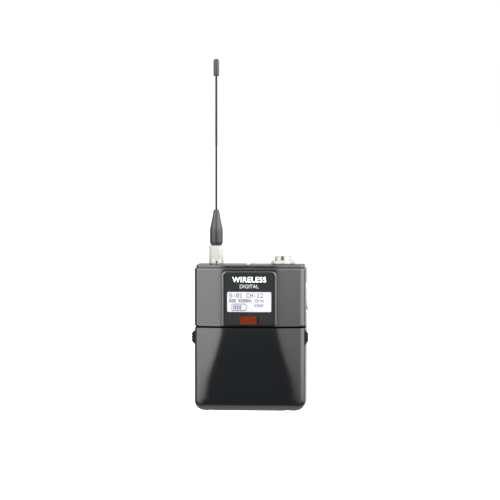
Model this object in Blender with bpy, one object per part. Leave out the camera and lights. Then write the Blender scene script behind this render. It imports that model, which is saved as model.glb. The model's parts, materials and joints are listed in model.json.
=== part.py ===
"""Wireless bodypack transmitter: whip antenna, microphone socket, battery door and wire belt clip.

Lengths below are millimetres; finish() turns each finished body into metres.
X runs to the right, Y to the back and Z up. The origin is the middle of the flat base.
"""

import math

import bmesh
import bpy
from mathutils import Matrix, Vector

MM = 0.001

# Case: outer size, wall and the shape of its faceted front.
HALF_WIDTH = 32.6
FRONT = -11.5
BACK = 11.5
WALL = 1.6
EDGE_RADIUS = 3.0
BASE_CORNER_RADIUS = 6.0
BASE_FRONT_RADIUS = 4.0
BASE_BACK_RADIUS = 2.5
FACET_HALF = 16.3
FACET_SLOPE = math.tan(math.radians(10.0))
DOOR_SLOPE = math.tan(math.radians(2.5))
FACET_BLEND = 0.22
GAP = 0.3

# Where the case divides into its shells.
SPLIT = 1.0
DOOR_TOP = 48.9
COVER_BOTTOM = 49.7
COVER_TOP = 84.4
CAP_BOTTOM = 84.7
CAP_TOP = 86.0

# Door hinge: a barrel along the base's front edge.
HINGE = (FRONT + (DOOR_TOP - BASE_FRONT_RADIUS) * DOOR_SLOPE + BASE_FRONT_RADIUS, BASE_FRONT_RADIUS)
BARREL_RADIUS = 4.0
HINGE_PIN_RADIUS = 0.8
HINGE_HOLE_RADIUS = 1.1
HINGE_PIN_HALF = 27.5
LUG_INNER = 21.0
LUG_OUTER = 24.0

# Door latches, one in each side wall of the door.
LATCH_OUT = 34.4
LATCH_Y = (-6.65, -1.25)
LATCH_Z = (39.2, 47.5)
LATCH_SPRING_RADIUS = 1.6
SPRING_SEAT_X = (24.8, 26.0)
SPRING_SEAT_Y = (-9.0, -1.6)
SPRING_SEAT_Z = (40.5, 46.8)

# Display: the dark lens, the readout behind it and the infrared window in it.
LENS_HALF = 15.65
LENS_Z = (50.7, 82.05)
LENS_Y = (-11.3, -10.1)
READOUT_Z = 64.2
IR_CENTRE = (0.2, 53.6)
IR_SIZE = (11.4, 4.5)
BOARD_Y = (-6.0, -4.8)

# Connectors and switch on the cap, all on one line.
TOP_Y = 0.8
ANTENNA_X = -20.3
SOCKET_X = 19.0
SWITCH_X = -1.5
SWITCH_TRAVEL = 2.5
LED_X = 7.0

# Antenna.
THREAD_RADIUS = 3.1
NUT_ACROSS_FLATS = 7.7
NUT_Z = (86.35, 96.8)
NUT_FOOT_RADIUS = 4.35
NUT_FOOT_TOP = 89.2
NUT_HOLE_RADIUS = 0.5
NUT_HOLE_SIDE = 0.6
NUT_HOLE_Z = 87.2
BOOT_Z = (97.1, 118.0)
BOOT_RADIUS = 3.85
BOOT_NECK_RADIUS = 3.3
BOOT_NECK_TOP = 97.8
WHIP_FOOT = 103.3
WHIP_TOP = 201.7
WHIP_RADIUS = 0.65
WHIP_TOP_RADIUS = 0.6
TIP_RADIUS = 1.65
TIP_Z = (196.4, 206.5)
TIP_BORE_RADIUS = 0.95

# Microphone socket: shell, round nut, insulator and four pins.
SOCKET_OUTER = 4.9
SOCKET_BORE = 4.2
SOCKET_Z = (72.0, 90.8)
KEY_SLOT = (1.6, 88.5)
RING_NUT_RADIUS = 7.0
RING_NUT_Z = (86.3, 88.1)
INSULATOR_RADIUS = 3.9
INSULATOR_Z = (74.0, 80.0)
PIN_CIRCLE = 2.1
PIN_RADIUS = 0.45
PIN_Z = (72.6, 85.0)

# Menu buttons behind the door's upper edge.
BUTTONS = (("exit_button", -16.5), ("down_button", -5.5), ("up_button", 5.5), ("enter_button", 16.5))
BUTTON_Z = 44.6
BUTTON_SIZE = (7.0, 4.6)

# Battery bay for two AA cells, one above the other.
CELL_RADIUS = 7.25
CELL_LENGTH = 50.5
CELL_Y = 1.9
CELL_Z = {"lower": 13.95, "upper": 30.65}
TRAY_HALF = 30.3
TRAY_FRONT = -0.6
TRAY_CORNER_RADIUS = 2.2
BAY_HEIGHT = 15.2
BAY_HALF = 27.6
TRAY_Z = (5.5, 39.6)

# Belt clip: one bent wire that pivots in a hole in each side of the case.
WIRE_RADIUS = 0.9
CLIP_PIVOT = (7.6, 73.4)
CLIP_X = 32.65
CLIP_BACK = 17.2

# Blank label in a shallow pocket of the back.
LABEL_Z = 34.0
LABEL_SIZE = (42.0, 30.0)
LABEL_CORNER_RADIUS = 1.5

# Case screws and the posts that they join.
SCREWS = ((-27.6, 80.0), (27.6, 80.0), (-27.6, 53.4), (27.6, 53.4))
POST_RADIUS = 2.3
SCREW_HOLE_RADIUS = 1.1


# ---------------------------------------------------------------- materials

def make_material(name, colour, roughness, metallic=0.0, alpha=1.0):
    material = bpy.data.materials.new(name)
    material.use_nodes = True
    shader = material.node_tree.nodes["Principled BSDF"]
    shader.inputs["Base Color"].default_value = (*colour, 1.0)
    shader.inputs["Roughness"].default_value = roughness
    shader.inputs["Metallic"].default_value = metallic
    shader.inputs["Alpha"].default_value = alpha
    return material


def make_materials():
    return {
        "case_paint": make_material("case_paint", (0.045, 0.047, 0.050), 0.42, 0.2),
        "black_plastic": make_material("black_plastic", (0.012, 0.012, 0.013), 0.6),
        "lens": make_material("lens", (0.018, 0.021, 0.024), 0.12),
        "readout": make_material("readout", (0.82, 0.84, 0.88), 0.4),
        "ir_red": make_material("ir_red", (0.12, 0.016, 0.006), 0.2),
        "nickel": make_material("nickel", (0.78, 0.76, 0.70), 0.22, 1.0),
        "steel": make_material("steel", (0.55, 0.55, 0.54), 0.3, 1.0),
        "gold": make_material("gold", (0.80, 0.58, 0.22), 0.28, 1.0),
        "rubber": make_material("rubber", (0.020, 0.021, 0.023), 0.7),
        "board_green": make_material("board_green", (0.012, 0.09, 0.035), 0.5),
        "white_insulator": make_material("white_insulator", (0.78, 0.77, 0.72), 0.5),
        "led_clear": make_material("led_clear", (0.20, 0.62, 0.24), 0.15),
        "cell_wrap": make_material("cell_wrap", (0.06, 0.13, 0.20), 0.3),
        "label_grey": make_material("label_grey", (0.30, 0.31, 0.32), 0.45),
    }


# ---------------------------------------------------------------- bodies

def body_from(bm):
    """A working object from a bmesh, its faces pointing out."""
    bmesh.ops.remove_doubles(bm, verts=bm.verts, dist=1e-4)
    bmesh.ops.recalc_face_normals(bm, faces=bm.faces)
    mesh = bpy.data.meshes.new("work")
    bm.to_mesh(mesh)
    bm.free()
    body = bpy.data.objects.new("work", mesh)
    bpy.context.scene.collection.objects.link(body)
    return body


def loft(sections):
    """A solid through closed sections that all have the same number of points."""
    bm = bmesh.new()
    rings = [[bm.verts.new(point) for point in section] for section in sections]
    count = len(rings[0])
    for low, high in zip(rings, rings[1:]):
        for i in range(count):
            j = (i + 1) % count
            bm.faces.new((low[i], low[j], high[j], high[i]))
    bm.faces.new(reversed(rings[0]))
    bm.faces.new(rings[-1])
    return body_from(bm)


def on_axis(axis, a, b, along):
    """A point from two coordinates across an axis and one along it."""
    return {"X": (along, a, b), "Y": (a, along, b), "Z": (a, b, along)}[axis]


def prism(outline, axis, low, high):
    """An outline extruded along an axis."""
    return loft([[on_axis(axis, a, b, level) for a, b in outline] for level in (low, high)])


def box(x, y, z):
    """A block from its three (low, high) ranges."""
    outline = [(x[0], y[0]), (x[1], y[0]), (x[1], y[1]), (x[0], y[1])]
    return prism(outline, "Z", z[0], z[1])


def rounded_rectangle(centre, width, height, radius, steps=3):
    points = []
    corners = ((1, 1, 0), (-1, 1, 90), (-1, -1, 180), (1, -1, 270))
    for side, up, start in corners:
        for k in range(steps + 1):
            angle = math.radians(start + 90.0 * k / steps)
            points.append((
                centre[0] + side * (width / 2 - radius) + radius * math.cos(angle),
                centre[1] + up * (height / 2 - radius) + radius * math.sin(angle),
            ))
    return points


def circle(centre, radius, sides, start=0.0):
    turn = [start + 2 * math.pi * k / sides for k in range(sides)]
    return [(centre[0] + radius * math.cos(a), centre[1] + radius * math.sin(a)) for a in turn]


def rod(axis, centre, radius, low, high, sides=16):
    """A round bar along an axis."""
    return prism(circle(centre, radius, sides, math.pi / sides), axis, low, high)


def turned(profile, centre, axis="Z", steps=24):
    """A turned solid. The profile lists (radius, height); it is closed by the axis or by itself."""
    bm = bmesh.new()
    verts = [bm.verts.new((radius, 0.0, height)) for radius, height in profile]
    pairs = list(zip(verts, verts[1:]))
    if profile[0][0] > 0 and profile[-1][0] > 0:
        pairs.append((verts[-1], verts[0]))
    edges = [bm.edges.new(pair) for pair in pairs]
    bmesh.ops.spin(
        bm, geom=verts + edges, cent=(0, 0, 0), axis=(0, 0, 1), angle=2 * math.pi, steps=steps
    )
    turn = {"Z": Matrix.Identity(4), "Y": Matrix.Rotation(-math.pi / 2, 4, "X")}[axis]
    bmesh.ops.transform(bm, matrix=Matrix.Translation(centre) @ turn, verts=bm.verts)
    return body_from(bm)


def wire(points, radius, resolution):
    """A round wire through points, with closed ends."""
    curve = bpy.data.curves.new("work", "CURVE")
    curve.dimensions = "3D"
    curve.bevel_depth = radius
    curve.bevel_resolution = resolution
    curve.use_fill_caps = True
    spline = curve.splines.new("POLY")
    spline.points.add(len(points) - 1)
    for point, place in zip(spline.points, points):
        point.co = (*place, 1.0)
    guide = bpy.data.objects.new("work", curve)
    bpy.context.scene.collection.objects.link(guide)
    view = bpy.context.evaluated_depsgraph_get()
    bm = bmesh.new()
    bm.from_mesh(bpy.data.meshes.new_from_object(guide.evaluated_get(view)))
    bpy.data.objects.remove(guide)
    return body_from(bm)


def combine(body, tool, operation):
    """A Boolean of two bodies, which uses up the tool."""
    modifier = body.modifiers.new("combine", "BOOLEAN")
    modifier.operation = operation
    modifier.solver = "EXACT"
    modifier.object = tool
    view = bpy.context.evaluated_depsgraph_get()
    mesh = bpy.data.meshes.new_from_object(body.evaluated_get(view))
    body.modifiers.clear()
    body.data = mesh
    bpy.data.objects.remove(tool)
    return body


def cut(body, *tools):
    for tool in tools:
        combine(body, tool, "DIFFERENCE")
    return body


def join(body, *tools):
    for tool in tools:
        combine(body, tool, "UNION")
    return body


def keep_inside(body, tool):
    return combine(body, tool, "INTERSECT")


def finish(body, name, material, origin=(0.0, 0.0, 0.0), smooth=35.0):
    """Names a body, sets its origin and material, and turns it into metres."""
    body.name = name
    body.data.name = name
    body.data.transform(Matrix.Translation(-Vector(origin)))
    body.data.transform(Matrix.Scale(MM, 4))
    body.location = Vector(origin) * MM
    body.data.materials.clear()
    body.data.materials.append(material)
    body.data.shade_smooth()
    body.data.set_sharp_from_angle(angle=math.radians(smooth))
    return body


# ---------------------------------------------------------------- case shape

def rounding(distance, radius):
    """How far a round edge has fallen back at a distance from where it meets the next face."""
    if distance >= radius:
        return 0.0
    return radius - math.sqrt(max(radius ** 2 - (radius - distance) ** 2, 0.0))


def front_y(x, z):
    """The faceted front: a flat centre that leans back down the door, and two raked sides."""
    side = (abs(x) - FACET_HALF) * FACET_SLOPE
    lean = max(DOOR_TOP - z, 0.0) * DOOR_SLOPE
    sharp = max(side, lean)
    blend = FACET_BLEND * math.log1p(math.exp(-abs(side - lean) / FACET_BLEND))
    return FRONT + sharp + blend


def case_section(z, inset=0.0):
    """The outline of the case at a height, drawn in by an inset."""
    above = z - inset
    half = HALF_WIDTH - inset - rounding(above, BASE_CORNER_RADIUS - inset)
    edge = max(EDGE_RADIUS - inset, 0.9)
    front_fall = inset + rounding(above, BASE_FRONT_RADIUS - inset)
    back = BACK - inset - rounding(above, max(BASE_BACK_RADIUS - inset, 0.5))
    flat = half - edge
    crease = FACET_HALF + max(DOOR_TOP - z, 0.0) * DOOR_SLOPE / FACET_SLOPE
    spread = ((-4.0, 0.80), (-1.6, 0.86), (0.0, 0.90), (1.6, 0.94), (4.0, 0.98))
    front = [(0.0, 0.0)] + [(min(crease + step, flat * share), 0.0) for step, share in spread]
    arc = [math.radians(90.0 * k / 4) for k in range(5)]
    front += [(flat + edge * math.sin(a), edge * (1 - math.cos(a))) for a in arc]
    right = [(x, front_y(x, z) + front_fall + fall) for x, fall in front]
    right += [(flat + edge * math.cos(a), back - edge * (1 - math.sin(a))) for a in arc]
    left = [(-x, y) for x, y in reversed(right[1:])]
    return [(x, y, z) for x, y in right + left]


def case_block(inset=0.0, top=COVER_TOP):
    """The whole case as a solid, drawn in by an inset."""
    radius = BASE_FRONT_RADIUS - inset
    arc = [inset + radius * (1 - math.cos(math.radians(a))) for a in (0, 22.5, 45, 67.5, 90)]
    levels = [*arc, BASE_CORNER_RADIUS, DOOR_TOP - 4.0, DOOR_TOP, top - 0.8]
    sections = [case_section(z, inset) for z in levels]
    sections.append(case_section(top - 0.3, inset + 0.22))
    sections.append(case_section(top, inset + 0.7))
    return loft(sections)


def cavity_block():
    """The space inside the case walls, open through the top."""
    return case_block(WALL, COVER_TOP + 4.0)


def hinge_rod(radius, half, sides=32):
    return rod("X", HINGE, radius, -half, half, sides)


def mirrored(points):
    return [(-x, y, z) for x, y, z in points]


# ---------------------------------------------------------------- case pieces

def clip_seat(side):
    """The boss inside the wall that holds the end of the clip wire."""
    x = sorted((side * 29.3, side * 31.8))
    return box(x, (CLIP_PIVOT[0] - 3.0, BACK - 1.2), (CLIP_PIVOT[1] - 17.0, CLIP_PIVOT[1] + 3.6))


def clip_recess(side):
    """The channel in the side wall that the clip wire lies in."""
    x = sorted((side * (CLIP_X - WIRE_RADIUS - 0.35), side * 40.0))
    return box(x, (CLIP_PIVOT[0] - 1.9, BACK + 3.0), (CLIP_PIVOT[1] - 16.3, CLIP_PIVOT[1] + 1.9))


def hinge_lug(side):
    """The arm that carries the hinge pin, and its round eye."""
    x = sorted((side * LUG_INNER, side * LUG_OUTER))
    arm = box(x, (HINGE[0], 0.2), (HINGE[1] - 0.8, HINGE[1] + 0.7))
    return join(arm, rod("X", HINGE, 2.0, *x, sides=16))


def build_rear_cover(materials):
    cover = case_block()
    upper = box((-40, 40), (-20, SPLIT + GAP / 2), (HINGE[1] - 0.3, 100))
    cut(cover, upper, hinge_rod(BARREL_RADIUS + 0.45, 40))
    cut(cover, box((-40, 40), (-20, HINGE[0] + 2.4), (-1, 5)))
    seats = [clip_seat(-1), clip_seat(1)]
    posts = [rod("Y", place, POST_RADIUS, SPLIT + GAP / 2, BACK - 0.7) for place in SCREWS]
    sill = box((-LUG_OUTER, LUG_OUTER), (HINGE[0] + 4.7, 0.6), (1.0, HINGE[1] + 0.6))
    cut(cover, cavity_block())
    join(cover, *seats, *posts, sill, hinge_lug(-1), hinge_lug(1))
    cut(cover, clip_recess(-1), clip_recess(1))
    cut(cover, rod("X", CLIP_PIVOT, WIRE_RADIUS + GAP, -40, 40))
    cut(cover, rod("X", HINGE, HINGE_HOLE_RADIUS, -LUG_OUTER - 0.2, LUG_OUTER + 0.2))
    for place in SCREWS:
        cut(cover, rod("Y", place, SCREW_HOLE_RADIUS, -2, 20), rod("Y", place, 2.0, 10.3, 20))
    pocket = [length + 2 * GAP for length in LABEL_SIZE]
    outline = rounded_rectangle((0, LABEL_Z), *pocket, LABEL_CORNER_RADIUS + GAP)
    cut(cover, prism(outline, "Y", BACK - 0.6, BACK + 2))
    finish(cover, "rear_cover", materials["case_paint"])


def build_front_cover(materials):
    cover = case_block()
    cut(cover, box((-40, 40), (SPLIT - GAP / 2, 20), (-1, 100)))
    cut(cover, box((-40, 40), (-20, 20), (-1, COVER_BOTTOM)))
    cut(cover, cavity_block())
    posts = [rod("Y", place, POST_RADIUS, -8.6, SPLIT - GAP / 2) for place in SCREWS]
    join(cover, *posts)
    for place in SCREWS:
        cut(cover, rod("Y", place, SCREW_HOLE_RADIUS, -5.0, 5.0))
    middle = (0, sum(LENS_Z) / 2)
    size = (2 * (LENS_HALF + GAP), LENS_Z[1] - LENS_Z[0] + 2 * GAP)
    cut(cover, prism(rounded_rectangle(middle, *size, 2.4, 4), "Y", -14, -8))
    finish(cover, "front_cover", materials["case_paint"])


def build_top_cap(materials):
    levels = ((CAP_BOTTOM, 0.9), (CAP_TOP - 0.7, 1.05), (CAP_TOP - 0.2, 1.5), (CAP_TOP, 2.1))
    cap = loft([case_section(z, inset) for z, inset in levels])
    cut(cap, rod("Z", (ANTENNA_X, TOP_Y), THREAD_RADIUS + GAP, 80, 90, 24))
    cut(cap, rod("Z", (SOCKET_X, TOP_Y), 5.25, 80, 90, 24))
    cut(cap, rod("Z", (LED_X, TOP_Y), 1.5, 80, 90))
    middle = (SWITCH_X + SWITCH_TRAVEL / 2, TOP_Y)
    slot = rounded_rectangle(middle, SWITCH_TRAVEL + 2.4, 2.4, 0.6)
    cut(cap, prism(slot, "Z", 80, 90))
    finish(cap, "top_cap", materials["case_paint"])


def build_screws(materials):
    for number, (x, z) in enumerate(SCREWS, 1):
        profile = [(0, 10.65), (1.05, 10.65), (1.05, 11.25), (1.7, 11.25), (1.7, 10.6), (0.8, 10.6)]
        screw = turned(profile + [(0.8, -4.4), (0, -4.4)], (x, 0, z), "Y", 12)
        finish(screw, f"case_screw_{number}", materials["steel"])


def build_rear_label(materials):
    outline = rounded_rectangle((0, LABEL_Z), *LABEL_SIZE, LABEL_CORNER_RADIUS)
    label = prism(outline, "Y", BACK - 0.3, BACK - 0.05)
    finish(label, "rear_label", materials["label_grey"])


# ---------------------------------------------------------------- door and latches

def door_knuckle(low, high):
    return rod("X", HINGE, 3.0, low, high, 24)


def spring_seat(side):
    """The rib inside the door that a latch spring pushes on."""
    x = sorted(side * edge for edge in SPRING_SEAT_X)
    return box(x, SPRING_SEAT_Y, SPRING_SEAT_Z)


def build_battery_door(materials):
    door = case_block()
    cut(door, box((-40, 40), (SPLIT - GAP / 2, 20), (-1, 100)))
    cut(door, box((-40, 40), (-20, 20), (DOOR_TOP, 100)), cavity_block())
    cut(door, box((-40, 40), (-20, 20), (-1, HINGE[1])))
    barrel = keep_inside(hinge_rod(BARREL_RADIUS, 40), case_block())
    inner = HALF_WIDTH - WALL - 1.4
    cut(barrel, hinge_rod(BARREL_RADIUS - WALL, inner))
    join(door, barrel)
    for side in (-1, 1):
        ranges = ((LUG_INNER - 3.2, LUG_INNER - 0.7), (LUG_OUTER + 0.7, LUG_OUTER + 3.2))
        for low, high in ranges:
            join(door, door_knuckle(*sorted((side * low, side * high))))
        slot = sorted((side * (LUG_INNER - 0.4), side * (LUG_OUTER + 0.4)))
        cut(door, box(slot, (HINGE[0] - 2.1, 4), (-1, HINGE[1] + 4.6)))
        window = sorted((side * 29.6, side * 40.0))
        y = (LATCH_Y[0] - GAP, LATCH_Y[1] + GAP)
        cut(door, box(window, y, (LATCH_Z[0] - GAP, LATCH_Z[1] + GAP)))
    cut(door, hinge_rod(HINGE_HOLE_RADIUS, HINGE_PIN_HALF + 0.4, 16))
    join(door, spring_seat(-1), spring_seat(1))
    finish(door, "battery_door", materials["case_paint"], (0, *HINGE))


def build_hinge_pin(materials):
    pin = rod("X", HINGE, HINGE_PIN_RADIUS, -HINGE_PIN_HALF, HINGE_PIN_HALF, 12)
    finish(pin, "door_hinge_pin", materials["steel"], (0, *HINGE))


def latch_button(side):
    """The part of a latch that fingers press, with chamfered ends and three ribs."""
    y_mid, z_mid = sum(LATCH_Y) / 2, sum(LATCH_Z) / 2
    full = (LATCH_Y[1] - LATCH_Y[0], LATCH_Z[1] - LATCH_Z[0])
    steps = ((30.0, 0.0), (32.5, 0.0), (33.6, 1.1), (34.0, 1.5))
    sections = []
    for x, inset in steps:
        outline = rounded_rectangle((y_mid, z_mid), full[0] - inset, full[1] - 2 * inset, 0.5, 2)
        sections.append([(side * x, y, z) for y, z in outline])
    button = loft(sections)
    for step in (-1.9, 0.0, 1.9):
        rib = rod("Y", (side * 33.75, z_mid + step), 0.65, y_mid - 1.9, y_mid + 1.9, 10)
        join(button, rib)
    return button


def build_latch(name, side, materials):
    button = latch_button(side)
    flange = box(sorted((side * 29.1, side * 30.6)), (-6.2, -1.0), (38.4, 48.3))
    tongue = box(sorted((side * 29.2, side * 30.3)), (-2.0, 3.2), (41.2, 45.4))
    barb = box(sorted((side * 28.6, side * 30.3)), (2.2, 3.2), (41.2, 45.4))
    join(button, flange, tongue, barb)
    middle = (side * LATCH_OUT, sum(LATCH_Y) / 2, sum(LATCH_Z) / 2)
    finish(button, name, materials["black_plastic"], middle)


def coil(start, end, radii, centre, turns, thickness):
    """A coil spring along X whose radius runs from the first to the second of two."""
    points = []
    count = int(turns * 10)
    for k in range(count + 1):
        share = k / count
        angle = 2 * math.pi * turns * share
        radius = radii[0] + (radii[1] - radii[0]) * share
        x = start + (end - start) * share
        y = centre[0] + radius * math.cos(angle)
        z = centre[1] + radius * math.sin(angle)
        points.append((x, y, z))
    return wire(points, thickness / 2, 1)


def build_latch_spring(name, side, materials):
    middle = (-3.6, sum(LATCH_Z) / 2)
    radii = (LATCH_SPRING_RADIUS, LATCH_SPRING_RADIUS)
    spring = coil(side * 26.55, side * 28.5, radii, middle, 2.5, 0.4)
    foot = side * (SPRING_SEAT_X[1] + GAP)
    finish(spring, name, materials["steel"], (foot, *middle))


# ---------------------------------------------------------------- display and controls

def build_display(materials):
    middle = (0, sum(LENS_Z) / 2)
    lens_outline = rounded_rectangle(middle, 2 * LENS_HALF, LENS_Z[1] - LENS_Z[0], 2.1, 4)
    lens = prism(lens_outline, "Y", *LENS_Y)
    hole = [length + 2 * GAP for length in IR_SIZE]
    cut(lens, prism(rounded_rectangle(IR_CENTRE, *hole, 1.0), "Y", -14, -8))
    finish(lens, "display_lens", materials["lens"])
    window = prism(rounded_rectangle(IR_CENTRE, *IR_SIZE, 0.7), "Y", *LENS_Y)
    finish(window, "ir_window", materials["ir_red"])
    gasket = prism(rounded_rectangle((0, READOUT_Z), 30.0, 16.0, 1.0), "Y", -9.8, -9.3)
    cut(gasket, prism(rounded_rectangle((0, READOUT_Z), 27.2, 13.2, 0.8), "Y", -11, -8))
    finish(gasket, "display_gasket", materials["rubber"])
    readout = prism(rounded_rectangle((0, READOUT_Z), 29.6, 17.0, 0.5, 1), "Y", -9.0, -6.3)
    finish(readout, "lcd_module", materials["readout"])


def build_boards(materials):
    board = prism(rounded_rectangle((0, 61.3), 48.6, 42.0, 1.0, 2), "Y", *BOARD_Y)
    finish(board, "main_board", materials["board_green"])
    shield = prism(rounded_rectangle((-1.5, 65.5), 25.0, 26.0, 0.8, 2), "Y", BOARD_Y[1] + GAP, -1.0)
    finish(shield, "rf_shield", materials["nickel"])


def build_menu_buttons(materials):
    frame = prism(rounded_rectangle((0, BUTTON_Z), 46.8, 7.8, 0.8, 2), "Y", -8.3, -7.1)
    for name, x in BUTTONS:
        hole = (BUTTON_SIZE[0] + 2 * GAP, BUTTON_SIZE[1] + 2 * GAP)
        cut(frame, prism(rounded_rectangle((x, BUTTON_Z), *hole, 0.9, 2), "Y", -9, -6))
    finish(frame, "button_frame", materials["black_plastic"])
    for name, x in BUTTONS:
        key = prism(rounded_rectangle((x, BUTTON_Z), *BUTTON_SIZE, 0.7, 2), "Y", -8.8, -6.6)
        join(key, prism(rounded_rectangle((x, BUTTON_Z), 8.4, 6.0, 0.7, 2), "Y", -6.8, -6.5))
        finish(key, name, materials["rubber"], (x, -8.8, BUTTON_Z))


def build_power_switch(materials):
    middle = SWITCH_X + SWITCH_TRAVEL / 2
    housing = box((middle - 4.5, middle + 4.5), (TOP_Y - 2.7, TOP_Y + 2.7), (79.4, 84.3))
    cut(housing, box((middle - 3.3, middle + 3.3), (TOP_Y - 1.85, TOP_Y + 1.85), (81.6, 90)))
    finish(housing, "power_switch_body", materials["black_plastic"])
    lever = prism(rounded_rectangle((SWITCH_X, TOP_Y), 1.7, 1.7, 0.35, 2), "Z", 82.5, 88.35)
    foot = box((SWITCH_X - 1.7, SWITCH_X + 1.7), (TOP_Y - 1.5, TOP_Y + 1.5), (82.0, 83.2))
    join(lever, foot)
    finish(lever, "power_switch_lever", materials["white_insulator"], (SWITCH_X, TOP_Y, CAP_TOP))


def build_status_led(materials):
    profile = [(0, 82.4), (1.7, 82.4), (1.7, 83.4), (1.2, 83.4), (1.2, 85.8), (0.8, 86.1), (0, 86.2)]
    led = turned(profile, (LED_X, TOP_Y, 0), steps=16)
    finish(led, "status_led", materials["led_clear"])


# ---------------------------------------------------------------- antenna

def build_antenna_jack(materials):
    r = THREAD_RADIUS
    profile = [(0, 80.0), (r, 80.0), (r, 82.4), (4.2, 82.4), (4.2, 84.3), (r, 84.3), (r, 90.7)]
    profile += [(r - 0.3, 91.0), (2.2, 91.0), (2.2, 84.0), (0, 84.0)]
    jack = turned(profile, (ANTENNA_X, TOP_Y, 0))
    finish(jack, "antenna_jack", materials["nickel"])
    ring = [(1.9, 84.3), (1.9, 90.4), (0.75, 90.4), (0.75, 84.3)]
    insulator = turned(ring, (ANTENNA_X, TOP_Y, 0), steps=16)
    finish(insulator, "antenna_jack_insulator", materials["white_insulator"])


def build_antenna_nut(materials):
    centre = (ANTENNA_X, TOP_Y)
    corner = NUT_ACROSS_FLATS / 2 / math.cos(math.pi / 6)
    nut = prism(circle(centre, corner, 6), "Z", NUT_FOOT_TOP - 0.3, NUT_Z[1])
    join(nut, rod("Z", centre, NUT_FOOT_RADIUS, NUT_Z[0], NUT_FOOT_TOP, 24))
    cut(nut, rod("Z", centre, THREAD_RADIUS + GAP, 80, 95.35, 24), rod("Z", centre, 1.85, 90, 99))
    hole = (ANTENNA_X + NUT_HOLE_SIDE, NUT_HOLE_Z)
    cut(nut, rod("Y", hole, NUT_HOLE_RADIUS, -10, TOP_Y - 2.0, 10))
    finish(nut, "antenna_nut", materials["nickel"], (*centre, NUT_Z[0]))


def build_antenna(materials):
    centre = (ANTENNA_X, TOP_Y, 0)
    profile = [(0, 87.8), (0.45, 88.2), (0.45, 91.35), (2.9, 91.35), (2.9, 95.0), (1.5, 95.0)]
    base = turned(profile + [(1.5, 103.0), (0, 103.0)], centre, steps=16)
    finish(base, "antenna_base", materials["nickel"], (ANTENNA_X, TOP_Y, 91.35))
    low, high = BOOT_Z
    outer = [(1.8, low), (BOOT_NECK_RADIUS, low), (BOOT_NECK_RADIUS, BOOT_NECK_TOP)]
    outer += [(BOOT_RADIUS, BOOT_NECK_TOP + 0.5), (BOOT_RADIUS, 105.6)]
    outer += [(3.3, 109.0), (1.65, high)]
    boot = turned(outer + [(0.95, high), (0.95, 103.4), (1.8, 103.4)], centre)
    finish(boot, "antenna_boot", materials["rubber"], (ANTENNA_X, TOP_Y, low))
    profile = [(0, WHIP_FOOT), (WHIP_RADIUS, WHIP_FOOT), (WHIP_TOP_RADIUS, WHIP_TOP), (0, WHIP_TOP)]
    whip = turned(profile, centre, steps=12)
    finish(whip, "antenna_whip", materials["rubber"], (ANTENNA_X, TOP_Y, WHIP_FOOT))
    low, high = TIP_Z
    outer = [(TIP_BORE_RADIUS, low), (TIP_RADIUS - 0.2, low), (TIP_RADIUS, low + 0.4)]
    outer += [(TIP_RADIUS, high - 0.9), (1.1, high - 0.2)]
    bore = [(0, high), (0, WHIP_TOP + GAP), (TIP_BORE_RADIUS, WHIP_TOP + GAP)]
    tip = turned(outer + bore, centre, steps=16)
    finish(tip, "antenna_tip", materials["rubber"], (ANTENNA_X, TOP_Y, low))


# ---------------------------------------------------------------- microphone socket

def build_mic_socket(materials):
    centre = (SOCKET_X, TOP_Y)
    low, high = SOCKET_Z
    outer = [(SOCKET_OUTER, low), (SOCKET_OUTER, high - 0.3), (SOCKET_OUTER - 0.3, high)]
    shell = turned(outer + [(SOCKET_BORE, high), (SOCKET_BORE, low)], (*centre, 0))
    width, foot = KEY_SLOT
    slot_x = (SOCKET_X - width / 2, SOCKET_X + width / 2)
    cut(shell, box(slot_x, (TOP_Y - 6, TOP_Y - 3), (foot, 92)))
    finish(shell, "mic_socket_shell", materials["nickel"])
    low, high = RING_NUT_Z
    inner = SOCKET_OUTER + GAP
    profile = [(inner, low), (RING_NUT_RADIUS, low), (RING_NUT_RADIUS, high - 0.4)]
    profile += [(RING_NUT_RADIUS - 0.4, high), (inner, high)]
    finish(turned(profile, (*centre, 0)), "mic_socket_nut", materials["nickel"])
    insulator = rod("Z", centre, INSULATOR_RADIUS, *INSULATOR_Z, 24)
    pins = circle(centre, PIN_CIRCLE, 4, math.pi / 4)
    for place in pins:
        cut(insulator, rod("Z", place, PIN_RADIUS + GAP, 70, 84, 10))
    finish(insulator, "mic_socket_insulator", materials["black_plastic"])
    for number, place in enumerate(pins, 1):
        low, high = PIN_Z
        profile = [(0, low), (PIN_RADIUS, low), (PIN_RADIUS, high - 0.4), (0.2, high), (0, high)]
        pin = turned(profile, (*place, 0), steps=8)
        finish(pin, f"mic_socket_pin_{number}", materials["gold"])


# ---------------------------------------------------------------- battery bay

def build_battery_tray(materials):
    middle = sum(TRAY_Z) / 2
    size = (2 * TRAY_HALF, TRAY_Z[1] - TRAY_Z[0])
    outline = rounded_rectangle((0, middle), *size, TRAY_CORNER_RADIUS)
    tray = prism(outline, "Y", TRAY_FRONT, BACK - WALL - 0.5)
    for z in CELL_Z.values():
        bay = (z - BAY_HEIGHT / 2, z + BAY_HEIGHT / 2)
        cut(tray, box((-BAY_HALF, BAY_HALF), (-3, 20), bay))
    finish(tray, "battery_tray", materials["black_plastic"])


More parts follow.
